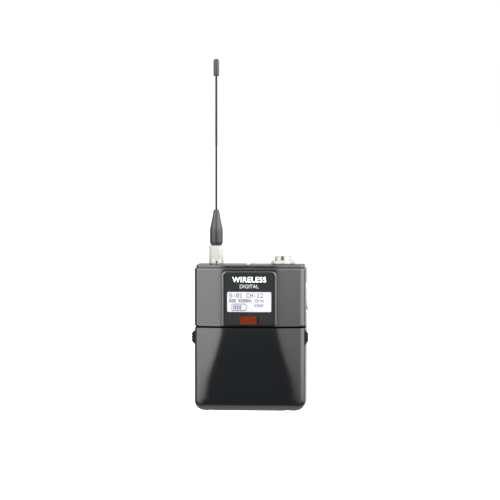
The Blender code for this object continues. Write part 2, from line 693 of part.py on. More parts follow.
def build_cell(level, side, materials):
    """One AA cell, its button end pointing to the given side, with its two contacts."""
    z = CELL_Z[level]
    tip = side * (BAY_HALF - 1.0)
    shoulder = tip - side * 1.1
    rear = tip - side * CELL_LENGTH
    cell = rod("X", (CELL_Y, z), CELL_RADIUS, *sorted((rear, shoulder)), sides=24)
    join(cell, rod("X", (CELL_Y, z), 2.7, *sorted((tip, shoulder - side * 0.5)), sides=12))
    finish(cell, f"battery_cell_{level}", materials["cell_wrap"])
    plate_x = sorted((side * (BAY_HALF - 0.7), side * (BAY_HALF - 0.3)))
    plate = box(plate_x, (CELL_Y - 4.5, CELL_Y + 4.5), (z - 4.5, z + 4.5))
    finish(plate, f"contact_plate_{level}", materials["nickel"])
    far = -side * (BAY_HALF - 0.65)
    near = rear - side * 0.7
    spring = coil(far, near, (3.4, 2.0), (CELL_Y, z), 2.5, 0.5)
    finish(spring, f"contact_spring_{level}", materials["steel"])


# ---------------------------------------------------------------- belt clip

def rounded_path(corners, radii, step=25.0):
    """A route through corner points with an arc at each inner corner."""
    points = [Vector(corners[0])]
    for before, corner, after, radius in zip(corners, corners[1:], corners[2:], radii):
        corner = Vector(corner)
        back = (Vector(before) - corner).normalized()
        ahead = (Vector(after) - corner).normalized()
        half = back.angle(ahead) / 2
        centre = corner + (back + ahead).normalized() * (radius / math.sin(half))
        start = corner + back * (radius / math.tan(half)) - centre
        turn = math.pi - 2 * half
        spin = back.cross(ahead).normalized()
        count = max(2, math.ceil(math.degrees(turn) / step))
        for k in range(count + 1):
            points.append(centre + Matrix.Rotation(-turn * k / count, 3, spin) @ start)
    points.append(Vector(corners[-1]))
    return points


def build_belt_clip(materials):
    pivot_y, pivot_z = CLIP_PIVOT
    half = [
        (29.8, pivot_y, pivot_z),
        (CLIP_X, pivot_y, pivot_z),
        (CLIP_X, pivot_y + 0.6, 59.5),
        (CLIP_X, 14.6, 58.9),
        (25.2, CLIP_BACK, 57.4),
        (23.8, CLIP_BACK, 36.0),
        (21.6, 14.0, 23.0),
        (19.5, 15.4, 13.0),
    ]
    route = half + list(reversed(mirrored(half)))
    bends = [1.5, 2.0, 3.0, 3.0, 8.0, 6.0, 4.0]
    clip = wire(rounded_path(route, bends + list(reversed(bends))), WIRE_RADIUS, 2)
    finish(clip, "belt_clip", materials["steel"], (0, *CLIP_PIVOT))


def build():
    for old in list(bpy.data.objects):
        bpy.data.objects.remove(old)
    materials = make_materials()
    build_rear_cover(materials)
    build_front_cover(materials)
    build_top_cap(materials)
    build_screws(materials)
    build_rear_label(materials)
    build_battery_door(materials)
    build_hinge_pin(materials)
    for word, side in (("left", -1), ("right", 1)):
        build_latch(f"door_latch_{word}", side, materials)
        build_latch_spring(f"latch_spring_{word}", side, materials)
    build_display(materials)
    build_boards(materials)
    build_menu_buttons(materials)
    build_power_switch(materials)
    build_status_led(materials)
    build_antenna_jack(materials)
    build_antenna_nut(materials)
    build_antenna(materials)
    build_mic_socket(materials)
    build_battery_tray(materials)
    build_cell("lower", 1, materials)
    build_cell("upper", -1, materials)
    build_belt_clip(materials)


build()
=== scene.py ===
"""Looks of the wireless bodypack transmitter: fine shells, display, connectors and a light studio.

Lengths here are millimetres, read from the frame where they come from it. place() turns bodies
into metres.
"""

import json
import math

import bmesh
import bpy
from mathutils import Matrix, Vector

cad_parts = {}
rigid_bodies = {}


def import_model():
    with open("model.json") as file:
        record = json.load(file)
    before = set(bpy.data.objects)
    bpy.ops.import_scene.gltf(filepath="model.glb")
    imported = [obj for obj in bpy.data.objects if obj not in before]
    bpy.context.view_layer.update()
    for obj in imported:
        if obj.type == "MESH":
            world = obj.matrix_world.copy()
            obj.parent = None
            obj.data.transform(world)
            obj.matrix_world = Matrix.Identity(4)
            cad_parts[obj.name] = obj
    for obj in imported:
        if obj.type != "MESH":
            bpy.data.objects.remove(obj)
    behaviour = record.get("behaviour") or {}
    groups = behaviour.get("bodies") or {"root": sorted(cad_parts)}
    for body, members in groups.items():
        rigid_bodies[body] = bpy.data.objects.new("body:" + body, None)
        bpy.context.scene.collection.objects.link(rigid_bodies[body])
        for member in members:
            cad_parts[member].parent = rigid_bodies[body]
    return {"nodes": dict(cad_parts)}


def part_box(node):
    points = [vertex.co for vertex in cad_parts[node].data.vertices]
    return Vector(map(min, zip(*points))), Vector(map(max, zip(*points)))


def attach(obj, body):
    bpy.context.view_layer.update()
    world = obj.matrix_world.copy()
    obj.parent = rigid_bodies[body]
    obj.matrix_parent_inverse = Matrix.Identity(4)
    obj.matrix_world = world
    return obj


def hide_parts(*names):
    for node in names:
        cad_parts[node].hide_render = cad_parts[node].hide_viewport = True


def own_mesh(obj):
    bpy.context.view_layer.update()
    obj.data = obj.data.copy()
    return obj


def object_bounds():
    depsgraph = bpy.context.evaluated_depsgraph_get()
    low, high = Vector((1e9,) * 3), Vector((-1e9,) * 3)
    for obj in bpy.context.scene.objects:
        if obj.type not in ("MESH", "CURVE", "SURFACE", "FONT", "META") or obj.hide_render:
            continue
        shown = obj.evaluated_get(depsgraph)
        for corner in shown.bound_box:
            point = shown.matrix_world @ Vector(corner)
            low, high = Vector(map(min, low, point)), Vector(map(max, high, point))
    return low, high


for old in list(bpy.data.objects):
    bpy.data.objects.remove(old)

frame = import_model()
cad_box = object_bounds()

MM = 0.001


def span(node):
    """The lowest and highest corners of a CAD node, in millimetres."""
    low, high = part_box(node)
    return low / MM, high / MM


def middle(node):
    low, high = span(node)
    return (low + high) / 2


def face(low, high):
    """The centre and the size of a box as seen from the front."""
    return ((low.x + high.x) / 2, (low.z + high.z) / 2), (high.x - low.x, high.z - low.z)


def linked(name, data):
    """A new object in the scene."""
    made = bpy.data.objects.new(name, data)
    bpy.context.scene.collection.objects.link(made)
    return made


# ---------------------------------------------------------------- sizes

# The case's outline, from the frame, and the shape of its faceted front.
HALF_WIDTH = span("front_cover")[1].x
FRONT = span("front_cover")[0].y
BACK = span("rear_cover")[1].y
DOOR_TOP = span("battery_door")[1].z
COVER_BOTTOM, COVER_TOP = span("front_cover")[0].z, span("front_cover")[1].z
CAP_BOTTOM, CAP_TOP = span("top_cap")[0].z, span("top_cap")[1].z
REAR_SEAM_Y = 1.15
SPLIT = (span("front_cover")[1].y + REAR_SEAM_Y) / 2
WALL = 1.6
EDGE_RADIUS = 3.0
BASE_CORNER_RADIUS = 6.0
BASE_FRONT_RADIUS = 4.0
BASE_BACK_RADIUS = 2.5
FACET_HALF = 16.3
FACET_SLOPE = math.tan(math.radians(10.0))
DOOR_SLOPE = math.tan(math.radians(3.0))
LEAN_EASE = 4.8
FACET_BLEND = 0.22
TOP_ROUND = 0.9
LEAST_EDGE = 0.9
GAP = 0.3
SEAM_BOTTOM, SEAM_TOP = DOOR_TOP + 0.05, COVER_BOTTOM + 0.42

# How far cutters reach past the case, and the spans of those that go through its front and its cap.
REACH_X = (-40, 40)
REACH_Y = (-20, 20)
REACH_Z = (-1, 100)
THROUGH_FRONT = (-14, -8)
THROUGH_CAP = (80, 90)

# The door's hinge and the lugs that hold its pin.
HINGE = (middle("door_hinge_pin").y, middle("door_hinge_pin").z)
BARREL_RADIUS = 4.0
HINGE_HOLE_RADIUS = 1.1
HINGE_PIN_HALF = span("door_hinge_pin")[1].x
LUG_INNER = 21.0
LUG_OUTER = 24.0
LUG_RADIUS = 2.0

# Latch windows in the door's sides.
LATCH_Y = (-7.2, -1.25)
LATCH_Z = (39.2, 47.5)
LATCH_SPRING_Y = -3.6
LATCH_SPRING_RADIUS = 1.6

# Display.
LENS_LOW, LENS_HIGH = span("display_lens")
IR_LOW, IR_HIGH = span("ir_window")
READOUT_Z = 64.4
READOUT_SIZE = (26.0, 11.8)
READOUT_DEPTH = 0.23
DOT_PITCH = (0.335, 0.385)
DOT_GAP = 0.02
BEAD_OUTSET = 0.45
BEAD_ROUND = 1.15
BEAD_HEIGHT = 0.5

# The line of connectors on the cap.
TOP_Y = middle("antenna_nut").y
ANTENNA_X = middle("antenna_whip").x
SOCKET_X = middle("mic_socket_shell").x
SWITCH_X = middle("power_switch_lever").x
SWITCH_TRAVEL = 2.5
LED_X = middle("status_led").x
THREAD_RADIUS = 3.1
THREAD_PITCH = 0.7056
NUT_ACROSS_FLATS = 7.7
NUT_FOOT_TOP = 89.2
NUT_FOOT_RADIUS = 4.35
NUT_HOLE = (ANTENNA_X + 0.6, span("antenna_nut")[0].z + 0.92)
BOOT_RADIUS = 3.85
BOOT_SHOULDER = (3.55, 107.9)
BOOT_NECK = (1.72, 117.4)
WHIP_RADIUS = 0.65
TIP_RADIUS = 1.65
SOCKET_HOLE_RADIUS = 5.25
SOCKET_BORE_RADIUS = 4.2
PIN_CIRCLE_RADIUS = 2.1
LED_RADIUS = 1.2

# Belt clip wire.
WIRE_RADIUS = 0.9
CLIP_PIVOT = (7.6, 73.4)
CLIP_X = 32.3
CLIP_BACK = 17.2

# The floor lies this far below the base.
FLOOR_DROP = 6.0

# Screws in the back.
SCREWS = [(middle(f"case_screw_{k}").x, middle(f"case_screw_{k}").z) for k in (1, 2, 3, 4)]
POST_RADIUS = 2.3
SCREW_HOLE_RADIUS = 1.1
HEAD_RADIUS = 2.0
HEAD_SEAT = 10.3


# ---------------------------------------------------------------- materials

def add_node(tree, kind, **settings):
    node = tree.nodes.new("ShaderNode" + kind)
    for key, value in settings.items():
        setattr(node, key, value)
    return node


def add_range(tree, source, limits, **settings):
    """A Map Range node; its limits are from low, from high, to low and to high."""
    node = add_node(tree, "MapRange", **settings)
    for socket, value in zip(("From Min", "From Max", "To Min", "To Max"), limits):
        node.inputs[socket].default_value = value
    tree.links.new(source, node.inputs["Value"])
    return node.outputs["Result"]


class Shader:
    """A Principled material with helpers for procedural detail in object space."""

    def __init__(self, name, colour, roughness, metallic=0.0, **fixed):
        self.material = bpy.data.materials.new(name)
        self.material.use_nodes = True
        self.tree = self.material.node_tree
        self.out = self.tree.nodes["Principled BSDF"]
        self.out.inputs["Base Color"].default_value = (*colour, 1.0)
        self.out.inputs["Roughness"].default_value = roughness
        self.out.inputs["Metallic"].default_value = metallic
        for socket, value in fixed.items():
            self.out.inputs[socket.replace("_", " ")].default_value = value
        self.colour = colour
        self.roughness = roughness
        self.place = self.add("TexCoord").outputs["Object"]
        self.height = None

    def add(self, kind, **settings):
        return add_node(self.tree, kind, **settings)

    def wire(self, source, node, socket):
        self.tree.links.new(source, node.inputs[socket])

    def scaled(self, grain):
        """Object coordinates over a grain of the given size in millimetres, or one for each axis."""
        mapping = self.add("Mapping")
        sizes = grain if isinstance(grain, tuple) else (grain,) * 3
        mapping.inputs["Scale"].default_value = tuple(1 / (size * MM) for size in sizes)
        self.wire(self.place, mapping, "Vector")
        return mapping.outputs["Vector"]

    def noise(self, size, detail=3.0, rough=0.5):
        node = self.add("TexNoise")
        node.inputs["Scale"].default_value = 1.0
        node.inputs["Detail"].default_value = detail
        node.inputs["Roughness"].default_value = rough
        self.wire(self.scaled(size), node, "Vector")
        return node.outputs["Fac"]

    def cells(self, size):
        node = self.add("TexVoronoi", feature="F1")
        node.inputs["Scale"].default_value = 1.0
        self.wire(self.scaled(size), node, "Vector")
        return node.outputs["Distance"]

    def ranged(self, source, *limits):
        return add_range(self.tree, source, limits)

    def axis(self, name):
        node = self.add("SeparateXYZ")
        self.wire(self.place, node, "Vector")
        return node.outputs[name]

    def math(self, operation, a, b):
        node = self.add("Math", operation=operation)
        for slot, value in enumerate((a, b)):
            if isinstance(value, (int, float)):
                node.inputs[slot].default_value = value
            else:
                self.tree.links.new(value, node.inputs[slot])
        return node.outputs["Value"]

    def mixed(self, share, first, second):
        """A colour that goes from the first to the second; each is a colour or a socket."""
        node = self.add("Mix", data_type="RGBA")
        self.tree.links.new(share, node.inputs["Factor"])
        for slot, value in ((6, first), (7, second)):
            if isinstance(value, tuple):
                node.inputs[slot].default_value = (*value, 1.0)
            else:
                self.tree.links.new(value, node.inputs[slot])
        return node.outputs[2]

    def tint(self, source, low=0.85, high=1.15):
        """Colour that varies with a 0 to 1 source, between shares of the base colour."""
        dark = tuple(c * low for c in self.colour)
        light = tuple(min(c * high, 1.0) for c in self.colour)
        self.paint(self.mixed(source, dark, light))

    def paint(self, colour):
        self.wire(colour, self.out, "Base Color")

    def vary_roughness(self, source, spread):
        low, high = self.roughness - spread, self.roughness + spread
        self.wire(self.ranged(source, 0.3, 0.7, max(low, 0.02), min(high, 1.0)), self.out, "Roughness")

    def bump(self, source, depth):
        """Adds height in millimetres to the surface."""
        node = self.add("Bump")
        node.inputs["Strength"].default_value = 1.0
        node.inputs["Distance"].default_value = depth * MM
        self.wire(source, node, "Height")
        if self.height:
            self.wire(self.height, node, "Normal")
        self.height = node.outputs["Normal"]
        self.wire(self.height, self.out, "Normal")


def paint_material(name, colour, roughness):
    """Sprayed charcoal paint: a fine pebbled skin, faint mottling and slightly uneven gloss."""
    shader = Shader(name, colour, roughness, IOR=1.8)
    shader.tint(shader.noise(2.2, 5.0, 0.6), 0.88, 1.12)
    shader.vary_roughness(shader.noise(1.4, 5.0, 0.6), 0.02)
    shader.bump(shader.noise(0.34, 2.0), 0.0035)
    return shader.material


def plastic_material(name, colour, roughness, grain=0.25, depth=0.006, shine=0.5):
    """Moulded plastic with a spark-eroded grain."""
    shader = Shader(name, colour, roughness, Specular_IOR_Level=shine)
    shader.tint(shader.noise(6.0, 3.0), 0.85, 1.2)
    shader.vary_roughness(shader.noise(1.5, 4.0), 0.06)
    shader.bump(shader.cells(grain), depth)
    return shader.material


def metal_material(name, colour, roughness, stretch=(0.15, 0.15, 0.15), depth=0.0015, metallic=1.0):
    """Metal whose grain is drawn out along one axis by unequal sizes."""
    shader = Shader(name, colour, roughness, metallic)
    grain = shader.noise(stretch, 4.0, 0.6)
    shader.tint(shader.noise(4.0, 4.0), 0.90, 1.06)
    shader.vary_roughness(grain, 0.07)
    shader.bump(grain, depth)
    return shader.material


def rubber_material(name, colour, roughness, shine=0.5):
    shader = Shader(name, colour, roughness, Specular_IOR_Level=shine)
    shader.tint(shader.noise(5.0, 5.0), 0.8, 1.25)
    shader.vary_roughness(shader.noise(1.2, 4.0), 0.05)
    shader.bump(shader.noise(0.18, 3.0), 0.003)
    return shader.material


def lens_material():
    """Back-printed dark acrylic: glossy, with a very faint ripple and dust-fine specks."""
    shader = Shader("lens_dark", (0.0115, 0.0125, 0.0130), 0.10)
    shader.tint(shader.noise(11.0, 2.0), 0.92, 1.08)
    shader.vary_roughness(shader.noise(3.0, 4.0), 0.03)
    shader.bump(shader.noise(14.0, 1.0), 0.004)
    return shader.material


def ir_material():
    """Dark red filter: brown-red where the diode sits behind it, deeper to its right."""
    shader = Shader("ir_filter", (0.13, 0.022, 0.005), 0.16)
    centre = (IR_LOW.x + 0.84 * (IR_HIGH.x - IR_LOW.x)) * MM
    side = shader.ranged(shader.axis("X"), centre - 0.4 * MM, centre + 0.9 * MM, 0.0, 1.0)
    deep = shader.mixed(shader.noise(1.8, 3.0), (0.007, 0.0028, 0.0035), (0.011, 0.0040, 0.0045))
    warm = shader.mixed(shader.noise(2.2, 3.0), (0.060, 0.0060, 0.0008), (0.085, 0.0100, 0.0015))
    shader.paint(shader.mixed(side, warm, deep))
    shader.vary_roughness(shader.noise(1.0, 3.0), 0.04)
    return shader.material


def glow_material(name, colour, strength, roughness, glow=(1.0, 1.0, 1.0)):
    """A lit surface with a faint unevenness, as a readout's backlight has."""
    shader = Shader(name, colour, roughness, Emission_Strength=strength)
    uneven = shader.noise(7.0, 2.0)
    shader.paint(shader.mixed(uneven, tuple(c * 0.94 for c in colour), colour))
    shader.wire(shader.mixed(uneven, tuple(c * 0.9 for c in glow), glow), shader.out, "Emission Color")
    shader.vary_roughness(shader.noise(2.0, 2.0), 0.03)
    return shader.material


def sleeve_material(level, side):
    """A plain printed sleeve: a dark field and a copper band at the button end."""
    low, high = span(f"battery_cell_{level}")
    edge = high.x - 13.0 if side > 0 else low.x + 13.0
    shader = Shader(f"cell_sleeve_{level}", (0.012, 0.018, 0.030), 0.25)
    across = shader.ranged(shader.axis("X"), (edge - 0.05) * MM, (edge + 0.05) * MM, 0.0, 1.0)
    field = shader.mixed(shader.noise(3.0, 3.0), (0.010, 0.015, 0.026), (0.016, 0.024, 0.038))
    band = shader.mixed(shader.noise(2.0, 3.0), (0.42, 0.17, 0.06), (0.50, 0.22, 0.08))
    first, second = (field, band) if side > 0 else (band, field)
    shader.paint(shader.mixed(across, first, second))
    shader.vary_roughness(shader.noise(1.0, 3.0), 0.04)
    shader.bump(shader.noise(1.4, 2.0), 0.004)
    return shader.material


MATERIALS = {
    "paint": paint_material("case_paint", (0.0026, 0.0032, 0.0039), 0.19),
    "cap_paint": paint_material("cap_paint", (0.0026, 0.0032, 0.0039), 0.28),
    # The edge paint is lighter than the case paint: partly rubbed edge wear, partly a painted highlight
    # along the rounded edges.
    "paint_edge": paint_material("case_paint_edge", (0.0100, 0.0106, 0.0112), 0.21),
    "black_plastic": plastic_material("black_plastic", (0.0016, 0.0016, 0.0018), 0.5, shine=0.14),
    # A lightless black for the seam pieces and the grub screw: painted shade in gaps and holes.
    "seam_black": plastic_material("seam_black", (0.0012, 0.0012, 0.0012), 0.8, shine=0.05),
    "tray_plastic": plastic_material("tray_plastic", (0.018, 0.018, 0.019), 0.55, 0.3),
    "lens": lens_material(),
    "ir": ir_material(),
    "readout": glow_material("readout_white", (0.292, 0.296, 0.308), 0.095, 0.3),
    "readout_mark": plastic_material("readout_mark", (0.005, 0.004, 0.015), 0.5, 0.2, 0.001, 0.1),
    "readout_faint": plastic_material("readout_faint", (0.075, 0.055, 0.125), 0.5, 0.2, 0.001, 0.1),
    "print_white": plastic_material("print_white", (0.80, 0.81, 0.82), 0.45, 0.15, 0.002),
    "print_grey": plastic_material("print_grey", (0.34, 0.35, 0.36), 0.45, 0.15, 0.002),
    "nickel": metal_material("nickel", (0.58, 0.565, 0.53), 0.35, (0.5, 0.5, 0.08), 0.0012, 0.78),
    "nickel_satin": metal_material(
        "nickel_satin", (0.40, 0.39, 0.365), 0.52, (0.5, 0.5, 0.08), 0.0012, 0.80
    ),
    "nickel_dark": metal_material("nickel_dark", (0.16, 0.155, 0.15), 0.42, (0.3, 0.3, 0.1)),
    "steel": metal_material("spring_steel", (0.56, 0.56, 0.55), 0.28, (0.12, 0.12, 0.9)),
    "screw_steel": metal_material("screw_steel", (0.22, 0.22, 0.22), 0.34, (0.2, 0.2, 0.2)),
    "tin": metal_material("contact_tin", (0.66, 0.65, 0.61), 0.32, (0.2, 0.9, 0.2)),
    "gold": metal_material("gold_flash", (0.80, 0.56, 0.20), 0.24, (0.2, 0.2, 0.06)),
    "rubber": rubber_material("antenna_rubber", (0.0085, 0.0095, 0.0115), 0.34),
    "whip_rubber": rubber_material("whip_rubber", (0.0040, 0.0043, 0.0050), 0.42, 0.25),
    "key_rubber": rubber_material("key_rubber", (0.022, 0.022, 0.024), 0.6),
    "white_plastic": plastic_material("white_plastic", (0.62, 0.61, 0.57), 0.4, 0.3, 0.002),
    "led": glow_material("led_green", (0.035, 0.16, 0.05), 0.12, 0.14, (0.2, 1.0, 0.3)),
    "board": plastic_material("solder_mask", (0.010, 0.085, 0.035), 0.32, 0.8, 0.004),
    "label": plastic_material("label_satin", (0.16, 0.165, 0.17), 0.34, 0.2, 0.001),
    "foam": rubber_material("gasket_foam", (0.012, 0.012, 0.012), 0.85),
    "sleeve_lower": sleeve_material("lower", 1),
    "sleeve_upper": sleeve_material("upper", -1),
}


# ---------------------------------------------------------------- bodies

def body_from(bm):
    bmesh.ops.remove_doubles(bm, verts=bm.verts, dist=1e-4)
    bmesh.ops.recalc_face_normals(bm, faces=bm.faces)
    mesh = bpy.data.meshes.new("work")
    bm.to_mesh(mesh)
    bm.free()
    return linked("work", mesh)


def loft(sections):
    """A solid through closed sections that all have the same number of points."""
    bm = bmesh.new()
    rings = [[bm.verts.new(point) for point in section] for section in sections]
    count = len(rings[0])
    for low, high in zip(rings, rings[1:]):
        for i in range(count):
            j = (i + 1) % count
            bm.faces.new((low[i], low[j], high[j], high[i]))
    bm.faces.new(reversed(rings[0]))
    bm.faces.new(rings[-1])
    return body_from(bm)


def arc(steps, first=0):
    """Angles over a quarter turn in equal steps."""
    return [math.radians(90.0 * k / steps) for k in range(first, steps + 1)]


def dome(radius, rise, top, steps):
    """The profile of a turned body's rounded end, from just above its side to the axis."""
    points = [(radius * math.cos(a), top - rise + rise * math.sin(a)) for a in arc(steps, 1)]
    return [*points[:-1], (0, points[-1][1])]


def on_side(side, near, far):
    """A range along X on one side of the middle; side is -1 or 1."""
    return sorted((side * near, side * far))


def on_axis(axis, a, b, along):
    return {"X": (along, a, b), "Y": (a, along, b), "Z": (a, b, along)}[axis]


def prism(outline, axis, low, high):
    return loft([[on_axis(axis, a, b, level) for a, b in outline] for level in (low, high)])


def box(x, y, z):
    outline = [(x[0], y[0]), (x[1], y[0]), (x[1], y[1]), (x[0], y[1])]
    return prism(outline, "Z", z[0], z[1])


def ahead_of(y, low=REACH_Z[0]):
    """A cutting box over all that is in front of a depth, from a height upwards."""
    return box(REACH_X, (REACH_Y[0], y), (low, REACH_Z[1]))


def behind(y):
    return box(REACH_X, (y, REACH_Y[1]), REACH_Z)


def above(z):
    return box(REACH_X, REACH_Y, (z, REACH_Z[1]))


def below(z):
    return box(REACH_X, REACH_Y, (REACH_Z[0], z))


def rounded_rectangle(centre, width, height, radius, steps=6):
    points = []
    corners = ((1, 1, 0), (-1, 1, 90), (-1, -1, 180), (1, -1, 270))
    for side, up, start in corners:
        for k in range(steps + 1):
            angle = math.radians(start + 90.0 * k / steps)
            points.append((
                centre[0] + side * (width / 2 - radius) + radius * math.cos(angle),
                centre[1] + up * (height / 2 - radius) + radius * math.sin(angle),
            ))
    return points


def slab(centre, size, radius, axis, low, high, steps=6):
    """A solid along an axis with a rounded rectangle for its section."""
    return prism(rounded_rectangle(centre, *size, radius, steps), axis, low, high)


def circle(centre, radius, sides, start=0.0):
    turn = [start + 2 * math.pi * k / sides for k in range(sides)]
    return [(centre[0] + radius * math.cos(a), centre[1] + radius * math.sin(a)) for a in turn]


def rod(axis, centre, radius, low, high, sides=40):
    return prism(circle(centre, radius, sides, math.pi / sides), axis, low, high)


def turned(profile, centre, axis="Z", steps=64):
    """A turned solid. The profile lists (radius, height); it is closed by the axis or by itself."""
    bm = bmesh.new()
    verts = [bm.verts.new((radius, 0.0, height)) for radius, height in profile]
    pairs = list(zip(verts, verts[1:]))
    if profile[0][0] > 0 and profile[-1][0] > 0:
        pairs.append((verts[-1], verts[0]))
    edges = [bm.edges.new(pair) for pair in pairs]
    bmesh.ops.spin(
        bm, geom=verts + edges, cent=(0, 0, 0), axis=(0, 0, 1), angle=2 * math.pi, steps=steps
    )
    turns = {
        "X": Matrix.Rotation(math.pi / 2, 4, "Y"),
        "Y": Matrix.Rotation(-math.pi / 2, 4, "X"),
        "Z": Matrix.Identity(4),
    }
    bmesh.ops.transform(bm, matrix=Matrix.Translation(centre) @ turns[axis], verts=bm.verts)
    return body_from(bm)


def wire(points, radius, resolution=4):
    """A round wire through points, with closed ends."""
    curve = bpy.data.curves.new("work", "CURVE")
    curve.dimensions = "3D"
    curve.bevel_depth = radius
    curve.bevel_resolution = resolution
    curve.use_fill_caps = True
    spline = curve.splines.new("POLY")
    spline.points.add(len(points) - 1)
    for point, where in zip(spline.points, points):
        point.co = (*where, 1.0)
    return settled(curve)


def settled(curve):
    """A working body from a curve or a text."""
    guide = linked("work", curve)
    view = bpy.context.evaluated_depsgraph_get()
    bm = bmesh.new()
    bm.from_mesh(bpy.data.meshes.new_from_object(guide.evaluated_get(view)))
    bpy.data.objects.remove(guide)
    return body_from(bm)


def applied(body):
    """The body with its modifiers worked into its mesh."""
    view = bpy.context.evaluated_depsgraph_get()
    mesh = bpy.data.meshes.new_from_object(body.evaluated_get(view))
    body.modifiers.clear()
    body.data = mesh
    return body


def combine(body, tool, operation):
    modifier = body.modifiers.new("combine", "BOOLEAN")
    modifier.operation = operation
    modifier.solver = "EXACT"
    modifier.object = tool
    applied(body)
    bpy.data.objects.remove(tool)
    return body


def cut(body, *tools):
    for tool in tools:
        combine(body, tool, "DIFFERENCE")
    return body


def join(body, *tools):
    for tool in tools:
        combine(body, tool, "UNION")
    return body


def add_bevel(body, width, segments, angle):
    modifier = body.modifiers.new("edges", "BEVEL")
    modifier.width = width
    modifier.segments = segments
    modifier.limit_method = "ANGLE"
    modifier.angle_limit = math.radians(angle)
    return modifier


def add_even_normals(body):
    modifier = body.modifiers.new("even_normals", "WEIGHTED_NORMAL")
    modifier.weight = 60
    return modifier


def eased(body, width, segments, edge_slot):
    """Rounds the sharp edges; the strips take the given material slot if it isn't the first."""
    # The given slot holds the lighter edge paint: partly wear, partly a painted highlight on the strips.
    add_bevel(body, width, segments, 30.0).material = edge_slot if edge_slot else -1
    applied(body)


def tidied(body):
    """Closes up the slivers that cutting leaves, which are too thin to have an area."""
    distance = 0.0012
    bm = bmesh.new()
    bm.from_mesh(body.data)
    bmesh.ops.remove_doubles(bm, verts=bm.verts, dist=distance)
    bmesh.ops.dissolve_degenerate(bm, edges=bm.edges, dist=distance)
    bm.to_mesh(body.data)
    bm.free()


def place(body, name, materials, rides, replaces=None, ease=0.0, segments=2, sharp=None):
    """Finishes a body: rounded edges, material, metres, the body it rides on and the node it replaces.

    Edges sharper than the given angle stay sharp. Without one, flat faces also get even shading.
    """
    names = materials if isinstance(materials, list) else [materials]
    for _ in names:
        body.data.materials.append(None)
    tidied(body)
    if ease:
        eased(body, ease, segments, len(names) - 1)
        tidied(body)
    body.data.materials.clear()
    for material in names:
        body.data.materials.append(MATERIALS[material])
    body.name = name
    body.data.name = name
    body.data.transform(Matrix.Scale(MM, 4))
    body.data.shade_smooth()
    body.data.set_sharp_from_angle(angle=math.radians(sharp or 50.0))
    if not sharp:
        add_even_normals(body).keep_sharp = True
        applied(body)
    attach(body, rides)
    if replaces:
        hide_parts(replaces)
    return body


# ---------------------------------------------------------------- case shape

def rounding(distance, radius):
    if distance >= radius:
        return 0.0
    return radius - math.sqrt(max(radius ** 2 - (radius - distance) ** 2, 0.0))


def lean_at(z):
    """How far the door's centre facet has leant back at a height; it starts upright and eases in."""
    down = max(DOOR_TOP - z, 0.0)
    return DOOR_SLOPE * (down + LEAN_EASE * (math.exp(-down / LEAN_EASE) - 1))


def front_y(x, z):
    """The faceted front: a flat centre that leans back down the door, and two raked sides."""
    side = (abs(x) - FACET_HALF) * FACET_SLOPE
    lean = lean_at(z)
    sharp = max(side, lean)
    blend = FACET_BLEND * math.log1p(math.exp(-abs(side - lean) / FACET_BLEND))
    return FRONT + sharp + blend


def case_section(z, inset=0.0):
    """The outline of the case at a height, drawn in by an inset."""
    height = z - inset
    half = HALF_WIDTH - inset - rounding(height, BASE_CORNER_RADIUS - inset)
    edge = max(EDGE_RADIUS - inset, LEAST_EDGE)
    front_fall = inset + rounding(height, BASE_FRONT_RADIUS - inset)
    back = BACK - inset - rounding(height, max(BASE_BACK_RADIUS - inset, 0.5))
    flat = half - edge
    crease = FACET_HALF + lean_at(z) / FACET_SLOPE
    near_crease = [min(crease + k - 7.0, flat * (0.70 + 0.28 * k / 14)) for k in range(15)]
    front = [(x, 0.0) for x in (0.0, *near_crease)]
    corner = arc(10)
    front += [(flat + edge * math.sin(a), edge * (1 - math.cos(a))) for a in corner]
    right = [(x, front_y(x, z) + front_fall + fall) for x, fall in front]
    right += [(flat + edge * math.cos(a), back - edge * (1 - math.sin(a))) for a in corner]
    left = [(-x, y) for x, y in reversed(right[1:])]
    return [(x, y, z) for x, y in right + left]


def case_block(inset=0.0, top=COVER_TOP - 0.3):
    """The whole case as one solid, with levels close together where the front starts to lean."""
    radius = BASE_FRONT_RADIUS - inset
    levels = [inset + radius * (1 - math.cos(a)) for a in arc(10)]
    levels += [4.7, 5.4, BASE_CORNER_RADIUS, 8.0, 20.0, 33.0, 40.0, 43.0, 45.0, 46.5, 47.6, 48.6]
    levels += [DOOR_TOP, 51.0, top - TOP_ROUND]
    sections = [case_section(z, inset) for z in levels]
    for a in arc(8, 1):
        z = top - TOP_ROUND + TOP_ROUND * math.sin(a)
        sections.append(case_section(z, inset + TOP_ROUND * (1 - math.cos(a))))
    return loft(sections)


def cavity_block():
    return case_block(WALL, COVER_TOP + 4.0)


def hinge_rod(radius, half, sides=64):
    return rod("X", HINGE, radius, -half, half, sides)


